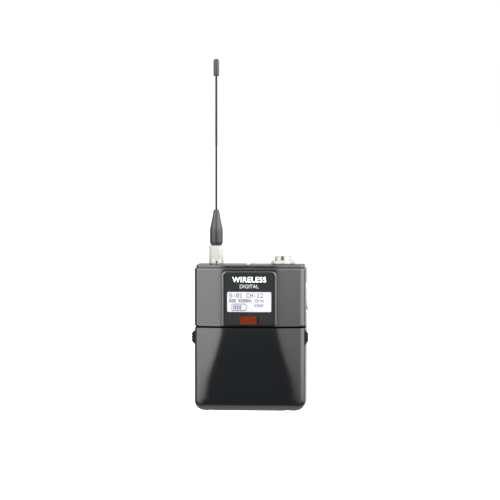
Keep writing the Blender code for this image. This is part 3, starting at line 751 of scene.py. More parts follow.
def build_rear_shell():
    """The back of the case with its clip seats, screw posts, hinge lugs and label recess."""
    shell = case_block()
    cut(shell, ahead_of(SPLIT + GAP / 2, HINGE[1] - 0.3))
    cut(shell, hinge_rod(BARREL_RADIUS + 0.45, 40))
    cut(shell, box(REACH_X, (REACH_Y[0], HINGE[0] + 2.4), (REACH_Z[0], 5)))
    cut(shell, cavity_block())
    for side in (-1, 1):
        seat_z = (CLIP_PIVOT[1] - 17.0, CLIP_PIVOT[1] + 3.6)
        join(shell, box(on_side(side, 29.3, 31.8), (CLIP_PIVOT[0] - 3.0, BACK - 1.2), seat_z))
    for post in SCREWS:
        join(shell, rod("Y", post, POST_RADIUS, SPLIT + GAP / 2, BACK - 0.7, 32))
    join(shell, box((-LUG_OUTER, LUG_OUTER), (HINGE[0] + 4.7, 0.6), (1.0, HINGE[1] + 0.6)))
    for side in (-1, 1):
        x = on_side(side, LUG_INNER, LUG_OUTER)
        join(shell, box(x, (HINGE[0], 0.2), (HINGE[1] - 0.8, HINGE[1] + 0.7)))
        join(shell, rod("X", HINGE, LUG_RADIUS, *x))
        recess = on_side(side, CLIP_X - WIRE_RADIUS - 0.35, REACH_X[1])
        z = (CLIP_PIVOT[1] - 16.3, CLIP_PIVOT[1] + 1.9)
        cut(shell, box(recess, (CLIP_PIVOT[0] - 1.9, BACK + 3.0), z))
    cut(shell, rod("X", CLIP_PIVOT, WIRE_RADIUS + GAP, *REACH_X, 32))
    cut(shell, rod("X", HINGE, HINGE_HOLE_RADIUS, -LUG_OUTER - 0.2, LUG_OUTER + 0.2, 32))
    bore = [(0, -2), (SCREW_HOLE_RADIUS, -2), (SCREW_HOLE_RADIUS, HEAD_SEAT)]
    bore += [(HEAD_RADIUS, HEAD_SEAT), (HEAD_RADIUS, REACH_Y[1]), (0, REACH_Y[1])]
    for x, z in SCREWS:
        cut(shell, turned(bore, (x, 0, z), "Y", steps=36))
    cut(shell, slab((0, 34.0), (42.6, 30.6), 1.8, "Y", BACK - 0.6, BACK + 2))
    place(shell, "rear_shell", ["paint", "paint_edge"], "case", "rear_cover", 0.22)


def build_front_shell():
    """The upper front with its screw posts and the opening for the lens."""
    shell = case_block()
    cut(shell, behind(SPLIT + 0.03), below(SEAM_TOP), cavity_block())
    for post in SCREWS:
        join(shell, rod("Y", post, POST_RADIUS, -8.6, SPLIT - GAP / 2, 32))
        cut(shell, rod("Y", post, SCREW_HOLE_RADIUS, -5.0, 5.0, 32))
    centre = (0, (LENS_LOW.z + LENS_HIGH.z) / 2)
    size = (LENS_HIGH.x - LENS_LOW.x + 2 * GAP, LENS_HIGH.z - LENS_LOW.z + 2 * GAP)
    cut(shell, slab(centre, size, 2.4, "Y", *THROUGH_FRONT, 10))
    place(shell, "front_shell", ["paint", "paint_edge"], "case", "front_cover", 0.18, 3)


def build_seam_lip():
    """A dark lip behind the seam between the front cover and the door, painted shade that makes the gap
    read dark.
    """
    steps = ((47.6, 2.1), (49.9, 2.1), (50.3, 1.5), (51.0, 1.5))
    lip = loft([case_section(z, inset) for z, inset in steps])
    cut(lip, behind(SPLIT - GAP / 2), case_block(2.75, 60.0))
    place(lip, "seam_lip", "seam_black", "case", sharp=30)


def build_seam_tongue():
    """A thin dark tongue inside the seam between the front cover and the rear shell, painted shade that
    makes the gap read dark.
    """
    tongue = loft([case_section(z, 1.65) for z in (49.55, 83.0)])
    cut(tongue, loft([case_section(z, 2.1) for z in (49.0, 84.0)]))
    cut(tongue, ahead_of(SPLIT - 0.7), behind(SPLIT + 0.8))
    place(tongue, "seam_tongue", "seam_black", "case", sharp=40)


def build_bezel():
    """The raised rim around the lens, rounded on its outer side, all in the lighter edge paint as a
    painted highlight.
    """
    low, high = COVER_BOTTOM - 1.4, LENS_HIGH.z + BEAD_OUTSET
    middle_z = (low + high) / 2
    half = LENS_HIGH.x + BEAD_OUTSET
    foot = FRONT + 0.06
    levels = [(FRONT + 0.5, 0.0), (foot, 0.0)]
    levels += [(foot - BEAD_HEIGHT * math.sin(a), BEAD_ROUND * (1 - math.cos(a))) for a in arc(12, 1)]
    sections = []
    for y, inset in levels:
        size = (2 * (half - inset), high - low - 2 * inset)
        outline = rounded_rectangle((0, middle_z), *size, 3.0 - inset, 12)
        sections.append([(x, y, z) for x, z in outline])
    rim = loft(list(reversed(sections)))
    opening = (2 * (half - BEAD_ROUND - 0.15), high - low - 2 * (BEAD_ROUND + 0.15))
    cut(rim, below(SEAM_TOP), slab((0, middle_z), opening, 1.7, "Y", *THROUGH_FRONT, 12))
    place(rim, "lens_bezel", "paint_edge", "case", sharp=40)


def build_door_shell():
    """The door with its hinge barrel, the slots for the lugs, and the latch windows and rests."""
    shell = case_block()
    cut(shell, behind(SPLIT - GAP / 2), above(SEAM_BOTTOM))
    heel = box((-41, 41), (HINGE[0], REACH_Y[1]), (REACH_Z[0], HINGE[1]))
    cut(shell, cut(heel, hinge_rod(BARREL_RADIUS, 45)))
    cut(shell, cut(cavity_block(), below(HINGE[1]), hinge_rod(BARREL_RADIUS, 45)))
    end = HALF_WIDTH - WALL - 1.4
    knuckles = (LUG_INNER - 3.2, LUG_INNER - 0.7, LUG_OUTER + 0.7, LUG_OUTER + 3.2)
    edges = (-end, *(-x for x in reversed(knuckles)), *knuckles, end)
    for low, high in zip(edges[::2], edges[1::2]):
        cut(shell, rod("X", HINGE, BARREL_RADIUS - WALL, low, high, 48))
    for side in (-1, 1):
        slot = on_side(side, LUG_INNER - 0.4, LUG_OUTER + 0.4)
        cut(shell, box(slot, (HINGE[0] - 2.1, 4), (HINGE[1], HINGE[1] + 4.6)))
        cut(shell, box(slot, (HINGE[0] - 1.3, 4), (REACH_Z[0], HINGE[1] + 0.5)))
        cut(shell, rod("X", HINGE, LUG_RADIUS + GAP, *slot, sides=44))
        window = on_side(side, 29.6, REACH_X[1])
        y = (LATCH_Y[0] - GAP, LATCH_Y[1] + GAP)
        cut(shell, box(window, y, (LATCH_Z[0] - GAP, LATCH_Z[1] + GAP)))
    cut(shell, hinge_rod(HINGE_HOLE_RADIUS, HINGE_PIN_HALF + 0.4, 32))
    for side in (-1, 1):
        join(shell, box(on_side(side, 24.8, 26.0), (-9.0, -1.6), (40.5, 46.8)))
    place(shell, "door_shell", ["paint", "paint_edge"], "door", "battery_door", 0.22)


def build_cap_shell():
    """The crowned top plate, a skirt under it, and the holes for what stands on it."""
    thick = CAP_TOP - CAP_BOTTOM
    sections = [case_section(CAP_BOTTOM - 0.30, 1.10), case_section(CAP_BOTTOM - 0.18, 0.95)]
    for a in arc(8):
        rise = thick * (0.62 + 0.38 * math.sin(a))
        sections.append(case_section(CAP_BOTTOM + rise, 0.98 + 1.12 * (1 - math.cos(a))))
    cap = loft(sections)
    skirt = loft([case_section(z, 1.95) for z in (83.2, 85.0)])
    cut(skirt, loft([case_section(z, 2.75) for z in (83.0, 85.5)]))
    join(cap, skirt)
    cut(cap, rod("Z", (ANTENNA_X, TOP_Y), THREAD_RADIUS + GAP, *THROUGH_CAP))
    cut(cap, rod("Z", (SOCKET_X, TOP_Y), SOCKET_HOLE_RADIUS, *THROUGH_CAP))
    cut(cap, rod("Z", (LED_X, TOP_Y), LED_RADIUS + GAP, *THROUGH_CAP, 32))
    slot_size = (SWITCH_TRAVEL + 2.4, 2.4)
    cut(cap, slab((SWITCH_X + SWITCH_TRAVEL / 2, TOP_Y), slot_size, 0.6, "Z", *THROUGH_CAP))
    place(cap, "cap_shell", ["cap_paint", "paint_edge"], "case", "top_cap", 0.08)


# ---------------------------------------------------------------- display

# Five-by-seven letters and three-by-five letters, row by row.
BIG_LETTERS = {
    "0": ".###. #...# #..## #.#.# ##..# #...# .###.",
    "1": "..#.. .##.. ..#.. ..#.. ..#.. ..#.. .###.",
    "2": ".###. #...# ....# ...#. ..#.. .#... #####",
    "G": ".###. #...# #.... #.### #...# #...# .###.",
    "C": ".###. #...# #.... #.... #.... #...# .###.",
    "H": "#...# #...# #...# ##### #...# #...# #...#",
    ":": "..... ..#.. ..#.. ..... ..#.. ..#.. .....",
    " ": "..... ..... ..... ..... ..... ..... .....",
}
SMALL_LETTERS = {
    "0": "### #.# #.# #.# ###",
    "1": ".#. ##. .#. .#. ###",
    "2": "### ..# ### #.. ###",
    "5": "### #.. ### ..# ###",
    "6": "### #.. ### #.# ###",
    ".": "... ... ... ... .#.",
    "M": "#.# ### ### #.# #.#",
    "H": "#.# #.# ### #.# #.#",
    "z": "... ### .#. #.. ###",
    "m": "... ##. ### #.# #.#",
    "W": "#.# #.# ### ### #.#",
    " ": "... ... ... ... ...",
}


def lettering_cells(text, letters, column, row):
    """The lit cells of a line of text whose top left cell is given, as (column, row) pairs."""
    cells = []
    for letter in text:
        rows = letters[letter].split()
        for down, line in enumerate(rows):
            cells += [(column + k, row + down) for k, dot in enumerate(line) if dot == "#"]
        column += len(rows[0]) + 1
    return cells


def dots(cells):
    """Thin raised rectangles on the readout, one for each lit cell, with a hair's gap between them."""
    left = -READOUT_SIZE[0] / 2
    top = READOUT_Z + READOUT_SIZE[1] / 2
    front = LENS_LOW.y + READOUT_DEPTH - 0.01
    wide, tall = DOT_PITCH
    bm = bmesh.new()
    for column, row in sorted(set(cells)):
        x = left + (column + 0.5) * wide
        z = top - (row + 0.5) * tall
        made = bmesh.ops.create_cube(bm, size=1.0)["verts"]
        bmesh.ops.scale(bm, vec=(wide - DOT_GAP, 0.03, tall - DOT_GAP), verts=made)
        bmesh.ops.translate(bm, vec=(x, front, z), verts=made)
    return body_from(bm)


def battery_icon_cells(column, row):
    """The outline of a cell with a rounded nose."""
    wide, tall = 24, 10
    outline = [(column + k, row + edge) for k in range(1, wide) for edge in (0, tall)]
    outline += [(column, row + k) for k in range(1, tall)]
    outline += [(column + wide, row + k) for k in (1, 2, tall - 2, tall - 1)]
    outline += [(column + wide + 1, row + k) for k in (2, 3, tall - 3, tall - 2)]
    outline += [(column + wide + 2, row + k) for k in range(4, tall - 3)]
    return outline


def battery_bar_cells(column, row):
    """Five charge bars inside the outline of the cell."""
    bars = []
    for bar in range(5):
        for k in range(2):
            bars += [(column + 3 + 3 * bar + k, row + 2 + down) for down in range(7)]
    return bars


def key_icon_cells(column, row):
    ring = [(1, 0), (2, 0), (3, 0), (0, 1), (4, 1), (0, 2), (4, 2), (0, 3), (4, 3), (1, 4), (2, 4), (3, 4)]
    stem = [(k, 2) for k in range(5, 15)] + [(11, 3), (11, 4), (14, 3), (14, 4)]
    return [(column + a, row + b) for a, b in ring + stem]


def build_display():
    centre = (0, (LENS_LOW.z + LENS_HIGH.z) / 2)
    size = (LENS_HIGH.x - LENS_LOW.x, LENS_HIGH.z - LENS_LOW.z)
    lens = slab(centre, size, 2.1, "Y", LENS_LOW.y, LENS_HIGH.y, 8)
    ir_middle, ir_size = face(IR_LOW, IR_HIGH)
    ir_hole = (ir_size[0] + 0.1, ir_size[1] + 0.1)
    cut(lens, slab(ir_middle, ir_hole, 0.75, "Y", *THROUGH_FRONT))
    cut(lens, slab((0, READOUT_Z), READOUT_SIZE, 0.7, "Y", -14, LENS_LOW.y + 0.5))
    place(lens, "lens_panel", "lens", "case", "display_lens", 0.05)
    filter_body = slab(ir_middle, ir_size, 0.7, "Y", IR_LOW.y + 0.01, IR_HIGH.y)
    place(filter_body, "ir_filter", "ir", "case", "ir_window", 0.04)
    lit = (READOUT_SIZE[0] - 0.02, READOUT_SIZE[1] - 0.02)
    depths = (LENS_LOW.y + READOUT_DEPTH, LENS_LOW.y + 0.49)
    screen = slab((0, READOUT_Z), lit, 0.68, "Y", *depths)
    place(screen, "readout_face", "readout", "case", ease=0.03)
    cells = lettering_cells("G:01 CH:12", BIG_LETTERS, 4, 2)
    cells += lettering_cells("606.500MHz", SMALL_LETTERS, 4, 11)
    cells += key_icon_cells(49, 11)
    cells += battery_icon_cells(8, 18)
    place(dots(cells), "readout_marks", "readout_mark", "case", sharp=30)
    faint = battery_bar_cells(8, 18) + lettering_cells("10mW", SMALL_LETTERS, 48, 18)
    place(dots(faint), "readout_faint_marks", "readout_faint", "case", sharp=30)


def printed_word(text, height, width, z, bold, name, ink):
    """A generic word printed on the lens, centred at a height."""
    curve = bpy.data.curves.new("work", "FONT")
    curve.body = text
    curve.align_x = "CENTER"
    curve.align_y = "CENTER"
    curve.size = height / 0.70
    curve.offset = bold
    curve.space_character = 1.0 + 1.6 * bold
    curve.extrude = 0.012
    curve.resolution_u = 6
    curve.fill_mode = "BOTH"
    word = settled(curve)
    xs = [vertex.co.x for vertex in word.data.vertices]
    ys = [vertex.co.y for vertex in word.data.vertices]
    share = width / (max(xs) - min(xs))
    rise = height / (max(ys) - min(ys))
    shift = Matrix.Translation((-(max(xs) + min(xs)) / 2, -(max(ys) + min(ys)) / 2, 0))
    grow = Matrix.Diagonal((share, rise, 1.0, 1.0))
    stand = Matrix.Rotation(math.pi / 2, 4, "X")
    word.data.transform(Matrix.Translation((0, LENS_LOW.y - 0.004, z)) @ stand @ grow @ shift)
    place(word, name, ink, "case", sharp=30)


# ---------------------------------------------------------------- latches and springs

def build_latch(word, side):
    """A press tab with three ribs, and the foot that holds it inside the door."""
    y_mid, z_mid = sum(LATCH_Y) / 2, sum(LATCH_Z) / 2
    full = (LATCH_Y[1] - LATCH_Y[0], LATCH_Z[1] - LATCH_Z[0])
    steps = ((30.0, 0.0), (32.45, 0.0), (32.7, 0.15), (33.5, 1.0), (33.85, 1.45), (34.0, 1.7))
    sections = []
    for x, inset in steps:
        outline = rounded_rectangle((y_mid, z_mid), full[0] - inset, full[1] - 2 * inset, 0.55, 5)
        sections.append([(side * x, y, z) for y, z in outline])
    tab = loft(sections)
    for step in (-1.9, 0.0, 1.9):
        join(tab, rod("Y", (side * 33.75, z_mid + step), 0.63, y_mid - 1.9, y_mid + 1.9, 20))
    join(tab, box(on_side(side, 29.1, 30.6), (-6.2, -1.0), (38.4, 48.3)))
    join(tab, box(on_side(side, 29.2, 30.3), (-2.0, 3.2), (41.2, 45.4)))
    join(tab, box(on_side(side, 28.6, 30.3), (2.2, 3.2), (41.2, 45.4)))
    node = f"door_latch_{word}"
    place(tab, f"latch_tab_{word}", "black_plastic", f"latch_{word}", node, 0.12)


def coil_points(start, end, radii, centre, turns):
    """A coil along X that may widen or narrow from one end to the other."""
    points = []
    count = int(turns * 28)
    for k in range(count + 1):
        share = k / count
        angle = 2 * math.pi * turns * share
        radius = radii[0] + (radii[1] - radii[0]) * share
        x = start + (end - start) * share
        points.append((x, centre[0] + radius * math.cos(angle), centre[1] + radius * math.sin(angle)))
    return points


def build_latch_spring(word, side):
    centre = (LATCH_SPRING_Y, sum(LATCH_Z) / 2)
    radii = (LATCH_SPRING_RADIUS, LATCH_SPRING_RADIUS)
    points = coil_points(side * 26.55, side * 28.5, radii, centre, 2.5)
    node = f"latch_spring_{word}"
    piece = place(wire(points, 0.2), f"spring_coil_{word}", "steel", "door", node, sharp=60)
    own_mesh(piece)


# ---------------------------------------------------------------- connectors on the cap

def build_antenna_nut():
    """The hexagon sleeve, its round foot and the small screw in the foot's hole, the screw in painted
    shade black so that the hole reads dark.
    """
    low, high = span("antenna_nut")
    centre = (ANTENNA_X, TOP_Y)
    foot = NUT_FOOT_TOP
    corner = NUT_ACROSS_FLATS / 2 / math.cos(math.pi / 6)
    nut = prism(circle(centre, corner, 6), "Z", foot, high.z + 0.5)
    cone = [(0, foot - 1), (corner - 0.35, foot - 1), (corner - 0.35, foot + 0.01)]
    cone += [(corner + 0.05, foot + 0.4), (corner + 0.05, high.z - 0.45)]
    cone += [(corner - 0.55, high.z), (0, high.z)]
    combine(nut, turned(cone, (*centre, 0)), "INTERSECT")
    ring = [(3.4, low.z), (4.15, low.z), (NUT_FOOT_RADIUS, low.z + 0.2)]
    ring += [(NUT_FOOT_RADIUS, foot - 0.25), (4.1, foot), (3.4, foot)]
    collar = turned(ring, (*centre, 0), steps=72)
    cut(collar, rod("Y", NUT_HOLE, 0.6, -10, TOP_Y - 2.0, 24))
    place(collar, "antenna_nut_foot", "nickel_satin", "nut", sharp=30)
    cut(nut, rod("Z", centre, THREAD_RADIUS + GAP, 80, 95.35, 48), rod("Z", centre, 1.85, 90, 99, 40))
    place(nut, "antenna_hex_nut", "nickel", "nut", "antenna_nut", 0.1)
    # A grub screw in painted shade black, so that the hole in the foot reads as shade.
    grub = rod("Y", NUT_HOLE, 0.56, TOP_Y - 4.0, TOP_Y - 3.45, 24)
    place(grub, "grub_screw", "seam_black", "nut", ease=0.04)


def build_antenna():
    """A rubber boot with a slightly hollow cone, the whip, its tip and the stem in the nut."""
    centre = (ANTENNA_X, TOP_Y, 0)
    bore = WHIP_RADIUS + 0.07
    low, high = span("antenna_boot")
    neck = low.z + 0.7
    outer = [(1.8, low.z), (3.1, low.z), (3.25, low.z + 0.15), (3.3, neck - 0.1), (3.62, neck + 0.15)]
    outer += [(3.80, neck + 0.6), (BOOT_RADIUS, neck + 1.5)]
    outer += [(BOOT_RADIUS, 105.2), (3.83, 105.9), (3.74, 106.8), BOOT_SHOULDER]
    for share in [k / 8 for k in range(1, 9)]:
        radius, z = [a + (b - a) * share for a, b in zip(BOOT_SHOULDER, BOOT_NECK)]
        outer.append((radius - 0.10 * math.sin(math.pi * share), z))
    outer += [(1.68, high.z - 0.35), (1.5, high.z - 0.08), (1.2, high.z), (bore, high.z - 0.05)]
    outer += [(bore, 103.4), (1.8, 103.4)]
    boot = turned(outer, centre)
    place(boot, "boot_sleeve", "rubber", "antenna", "antenna_boot", sharp=50)
    low, high = span("antenna_whip")
    profile = [(0, low.z), (WHIP_RADIUS, low.z)]
    for k in range(1, 13):
        profile.append((WHIP_RADIUS - 0.05 * k / 12, low.z + (high.z - low.z) * k / 12))
    whip = turned(profile + [(0, high.z)], centre, steps=32)
    place(whip, "whip_rod", "whip_rubber", "antenna", "antenna_whip", sharp=50)
    low, high = span("antenna_tip")
    outer = [(bore, low.z), (1.15, low.z), (1.45, low.z + 0.12), (1.62, low.z + 0.4)]
    outer += [(TIP_RADIUS, low.z + 0.9), (TIP_RADIUS, high.z - 1.2)]
    outer += dome(TIP_RADIUS, 1.2, high.z, 8)
    tip = turned(outer + [(0, 202.0), (bore, 202.0)], centre, steps=48)
    place(tip, "tip_cap", "rubber", "antenna", "antenna_tip", sharp=50)
    profile = [(0, 87.8), (0.25, 87.9), (0.45, 88.3), (0.45, 91.35), (2.6, 91.35), (2.9, 91.6)]
    profile += [(2.9, 94.8), (2.7, 95.0), (1.5, 95.0), (1.5, 103.0), (0, 103.0)]
    place(turned(profile, centre), "antenna_stem", "nickel", "antenna", "antenna_base", sharp=40)


def build_antenna_jack():
    """A jack with rings for its thread, a clamping collar under the cap and an insulating core."""
    centre = (ANTENNA_X, TOP_Y, 0)
    radius, root, pitch = THREAD_RADIUS, THREAD_RADIUS - 0.3, THREAD_PITCH
    profile = [(0, 80.0), (root, 80.0), (root, 82.4), (4.0, 82.4), (4.2, 82.6), (4.2, 84.1), (4.0, 84.3)]
    profile += [(root, 84.3)]
    z = 84.6
    while z + pitch < 90.6:
        profile += [(root, z), (radius, z + 0.3 * pitch)]
        profile += [(radius, z + 0.45 * pitch), (root, z + 0.75 * pitch)]
        z += pitch
    profile += [(root, 90.6), (root - 0.1, 91.0), (2.2, 91.0), (2.2, 84.0), (0, 84.0)]
    place(turned(profile, centre), "threaded_jack", "nickel", "case", "antenna_jack", sharp=30)
    ring = [(1.9, 84.3), (1.9, 90.3), (1.8, 90.4), (0.85, 90.4), (0.75, 90.3), (0.75, 84.3)]
    core = turned(ring, centre, steps=40)
    place(core, "jack_core", "white_plastic", "case", "antenna_jack_insulator", sharp=40)


def build_mic_socket():
    """The socket's shell with a key slot, its dark lining, ring nut, insulator and four pins."""
    centre = (SOCKET_X, TOP_Y)
    low, high = span("mic_socket_shell")
    outer = [(4.9, low.z), (4.9, high.z - 0.35), (4.8, high.z - 0.12), (4.6, high.z), (4.35, high.z)]
    bore = SOCKET_BORE_RADIUS
    shell = turned(outer + [(bore, high.z - 0.15), (bore, low.z)], (*centre, 0), steps=80)
    key_slot = (SOCKET_X - 0.8, SOCKET_X + 0.8)
    cut(shell, box(key_slot, (TOP_Y - 6, TOP_Y - 3), (high.z - 2.3, high.z + 1)))
    place(shell, "socket_shell", "nickel_satin", "case", "mic_socket_shell", 0.08)
    sleeve = [(bore, 80.0), (bore, high.z - 0.5), (4.0, high.z - 0.5), (4.0, 80.0)]
    lining = turned(sleeve, (*centre, 0), steps=80)
    place(lining, "socket_lining", "nickel_dark", "case", sharp=40)
    low, high = span("mic_socket_nut")
    hole = SOCKET_HOLE_RADIUS
    outer = [(hole, low.z), (6.8, low.z), (7.0, low.z + 0.2), (7.0, high.z - 0.55)]
    outer += [(6.85, high.z - 0.2), (6.55, high.z), (5.4, high.z), (hole, high.z - 0.15)]
    nut = turned(outer, (*centre, 0), steps=96)
    for k in range(4):
        a = math.radians(45 + 90 * k)
        notch = (SOCKET_X + 7.1 * math.cos(a), TOP_Y + 7.1 * math.sin(a))
        cut(nut, rod("Z", notch, 0.8, low.z - 1, high.z + 1, 24))
    place(nut, "socket_ring_nut", "nickel_satin", "case", "mic_socket_nut", 0.06)
    insulator = rod("Z", centre, 3.9, 74.0, 80.0, 64)
    cut(insulator, box((SOCKET_X - 0.7, SOCKET_X + 0.7), (TOP_Y - 5, TOP_Y - 3.2), (70, 84)))
    pins = circle(centre, PIN_CIRCLE_RADIUS, 4, math.pi / 4)
    for spot in pins:
        cut(insulator, rod("Z", spot, 0.75, 70, 84, 24))
    name = "mic_socket_insulator"
    place(insulator, "socket_core", "black_plastic", "case", name, 0.1)
    for number, spot in enumerate(pins, 1):
        profile = [(0, 72.6), (0.45, 72.6), (0.45, 84.4), (0.38, 84.75), (0.2, 84.95), (0, 85.0)]
        pin = turned(profile, (*spot, 0), steps=24)
        node = f"mic_socket_pin_{number}"
        place(pin, f"socket_contact_{number}", "gold", "case", node, sharp=50)


def build_power_switch():
    """The grooved lever, and the printed marks for on and off beside it."""
    low, high = span("power_switch_lever")
    lever = slab((SWITCH_X, TOP_Y), (1.7, 1.7), 0.35, "Z", low.z + 0.5, high.z)
    join(lever, box((low.x, high.x), (low.y, high.y), (low.z, low.z + 1.2)))
    for k in range(3):
        z = high.z - 0.45 - 0.5 * k
        for side in (-1, 1):
            cut(lever, rod("Y", (SWITCH_X + side * 0.97, z), 0.2, TOP_Y - 1, TOP_Y + 1, 16))
    place(lever, "switch_lever", "white_plastic", "lever", "power_switch_lever", 0.08)
    middle_x = SWITCH_X + SWITCH_TRAVEL / 2
    line = 0.28
    under, over = CAP_TOP - 0.02, CAP_TOP + 0.015
    bar = slab((middle_x - 5.2, TOP_Y), (line, 1.7), 0.1, "Z", under, over, 3)
    place(bar, "switch_on_mark", "print_white", "case", sharp=40)
    ring = [(0.72, under), (0.72 + line, under), (0.72 + line, over), (0.72, over)]
    mark = turned(ring, (middle_x + 5.2 - 1.2, TOP_Y + 4.6, 0), steps=40)
    place(mark, "switch_off_mark", "print_white", "case", sharp=40)


def build_status_led():
    low, high = span("status_led")
    profile = [(0, low.z), (1.7, low.z), (1.7, low.z + 1.0), (LED_RADIUS, low.z + 1.0)]
    profile += [(LED_RADIUS, high.z - 0.45), *dome(LED_RADIUS, 0.45, high.z, 6)]
    led = turned(profile, (LED_X, TOP_Y, 0), steps=40)
    place(led, "led_lens", "led", "case", "status_led", sharp=50)


# ---------------------------------------------------------------- back of the case

def rounded_path(corners, radii, step=6.0):
    """A route through corner points with an arc at each inner corner."""
    points = [Vector(corners[0])]
    for before, corner, after, radius in zip(corners, corners[1:], corners[2:], radii):
        corner = Vector(corner)
        back = (Vector(before) - corner).normalized()
        ahead = (Vector(after) - corner).normalized()
        half = back.angle(ahead) / 2
        centre = corner + (back + ahead).normalized() * (radius / math.sin(half))
        start = corner + back * (radius / math.tan(half)) - centre
        turn = math.pi - 2 * half
        spin = back.cross(ahead).normalized()
        count = max(3, math.ceil(math.degrees(turn) / step))
        for k in range(count + 1):
            points.append(centre + Matrix.Rotation(-turn * k / count, 3, spin) @ start)
    points.append(Vector(corners[-1]))
    return points


def build_belt_clip():
    pivot_y, pivot_z = CLIP_PIVOT
    half = [
        (29.8, pivot_y, pivot_z),
        (CLIP_X, pivot_y, pivot_z),
        (CLIP_X, pivot_y + 0.6, 59.5),
        (CLIP_X, 14.6, 58.9),
        (25.2, CLIP_BACK, 57.4),
        (23.8, CLIP_BACK, 36.0),
        (21.6, 14.0, 23.0),
        (19.5, 15.4, 13.0),
    ]
    route = half + [(-x, y, z) for x, y, z in reversed(half)]
    bends = [1.5, 2.0, 3.0, 3.0, 8.0, 6.0, 4.0]
    clip = wire(rounded_path(route, bends + list(reversed(bends))), WIRE_RADIUS, 8)
    place(clip, "clip_wire", "steel", "clip", "belt_clip", sharp=60)


def build_screws():
    for number, (x, z) in enumerate(SCREWS, 1):
        profile = [(0, 11.25), (0.9, 11.22), (1.45, 11.1), (1.7, 10.9), (1.7, 10.6), (0.8, 10.6)]
        screw = turned(profile + [(0.8, -4.4), (0, -4.4)], (x, 0, z), "Y", 40)
        turn = math.radians(17.0 * number)
        for quarter in (0.0, math.pi / 2):
            bar = box((-1.0, 1.0), (10.75, 12.0), (-0.16, 0.16))
            bar.data.transform(Matrix.Translation((x, 0, z)) @ Matrix.Rotation(turn + quarter, 4, "Y"))
            cut(screw, bar)
        node = f"case_screw_{number}"
        place(screw, f"back_screw_{number}", "screw_steel", "case", node, 0.04)


def build_label():
    low, high = span("rear_label")
    centre, size = face(low, high)
    plate = slab(centre, size, 1.5, "Y", low.y, high.y)
    outside = (size[0] - 2.4, size[1] - 2.4)
    inside = (size[0] - 3.0, size[1] - 3.0)
    frame_line = slab(centre, outside, 0.9, "Y", high.y - 0.06, high.y + 1)
    cut(frame_line, slab(centre, inside, 0.6, "Y", high.y - 1, high.y + 2))
    cut(plate, frame_line)
    for z in [centre[1] + row for row in (-7.5, 0.0, 7.5)]:
        cut(plate, box((low.x + 4.0, high.x - 4.0), (high.y - 0.05, high.y + 1), (z, z + 0.25)))
    place(plate, "back_label", "label", "case", "rear_label", sharp=30)


# ---------------------------------------------------------------- battery bay and keys

def build_cell(level, side):
    """A cell with a crimped steel end, a printed sleeve and a button."""
    low, high = span(f"battery_cell_{level}")
    y, z = (low.y + high.y) / 2, (low.z + high.z) / 2
    radius = (high.z - low.z) / 2 + 0.03
    start, end = (low.x, high.x) if side > 0 else (high.x, low.x)
    length = abs(end - start)
    steel = [(0, 0.25), (3.6, 0.25), (3.9, 0.0), (6.6, 0.0), (7.0, 0.3), (7.02, 0.8)]
    steel += [(7.02, length - 2.2), (6.8, length - 1.6), (6.3, length - 1.35), (3.4, length - 1.2)]
    steel += [(3.1, length - 1.1), (2.7, length - 0.9), (2.7, length - 0.25), (2.45, length), (0, length)]
    core = turned(steel, (0, 0, 0), "X", 64)
    sleeve = [(7.04, 0.5), (radius - 0.1, 0.3), (radius, 0.5), (radius, length - 2.0)]
    sleeve += [(radius - 0.15, length - 1.6), (6.4, length - 1.25), (6.38, length - 1.32)]
    sleeve += [(7.04, length - 1.9)]
    wrap = turned(sleeve, (0, 0, 0), "X", 64)
    facing = Matrix.Identity(4) if side > 0 else Matrix.Rotation(math.pi, 4, "Z")
    for body in (core, wrap):
        body.data.transform(Matrix.Translation((start, y, z)) @ facing)
    node = f"battery_cell_{level}"
    place(core, f"cell_can_{level}", "tin", "case", node, sharp=40)
    place(wrap, f"cell_sleeve_{level}", f"sleeve_{level}", "case", sharp=40)


def build_contacts(level, side):
    y, z = middle(f"battery_cell_{level}").y, middle(f"battery_cell_{level}").z
    low, high = span(f"contact_plate_{level}")
    plate = slab((y, z), (9.0, 9.0), 1.2, "X", low.x, high.x)
    join(plate, rod("X", (y, z), 1.6, *on_side(side, 26.72, 27.0), sides=32))
    place(plate, f"contact_leaf_{level}", "tin", "case", f"contact_plate_{level}", 0.06)
    low, high = span(f"contact_spring_{level}")
    far, near = (low.x + 0.25, high.x - 0.25) if side > 0 else (high.x - 0.25, low.x + 0.25)
    coil = wire(coil_points(far, near, (3.4, 2.0), (y, z), 2.5), 0.25)
    place(coil, f"contact_coil_{level}", "tin", "case", f"contact_spring_{level}", sharp=60)


def build_polarity_marks():
    """Raised plus and minus signs on the front edge of the tray's end blocks."""
    low, high = span("battery_tray")
    for level, side in (("lower", 1), ("upper", -1)):
        z = middle(f"battery_cell_{level}").z
        y = (low.y - 0.12, low.y + 0.1)
        for sign, x in (("plus", side * 29.1), ("minus", -side * 29.1)):
            mark = box((x - 0.9, x + 0.9), y, (z - 0.2, z + 0.2))
            if sign == "plus":
                join(mark, box((x - 0.2, x + 0.2), y, (z - 0.9, z + 0.9)))
            place(mark, f"{sign}_mark_{level}", "print_white", "case", ease=0.04)


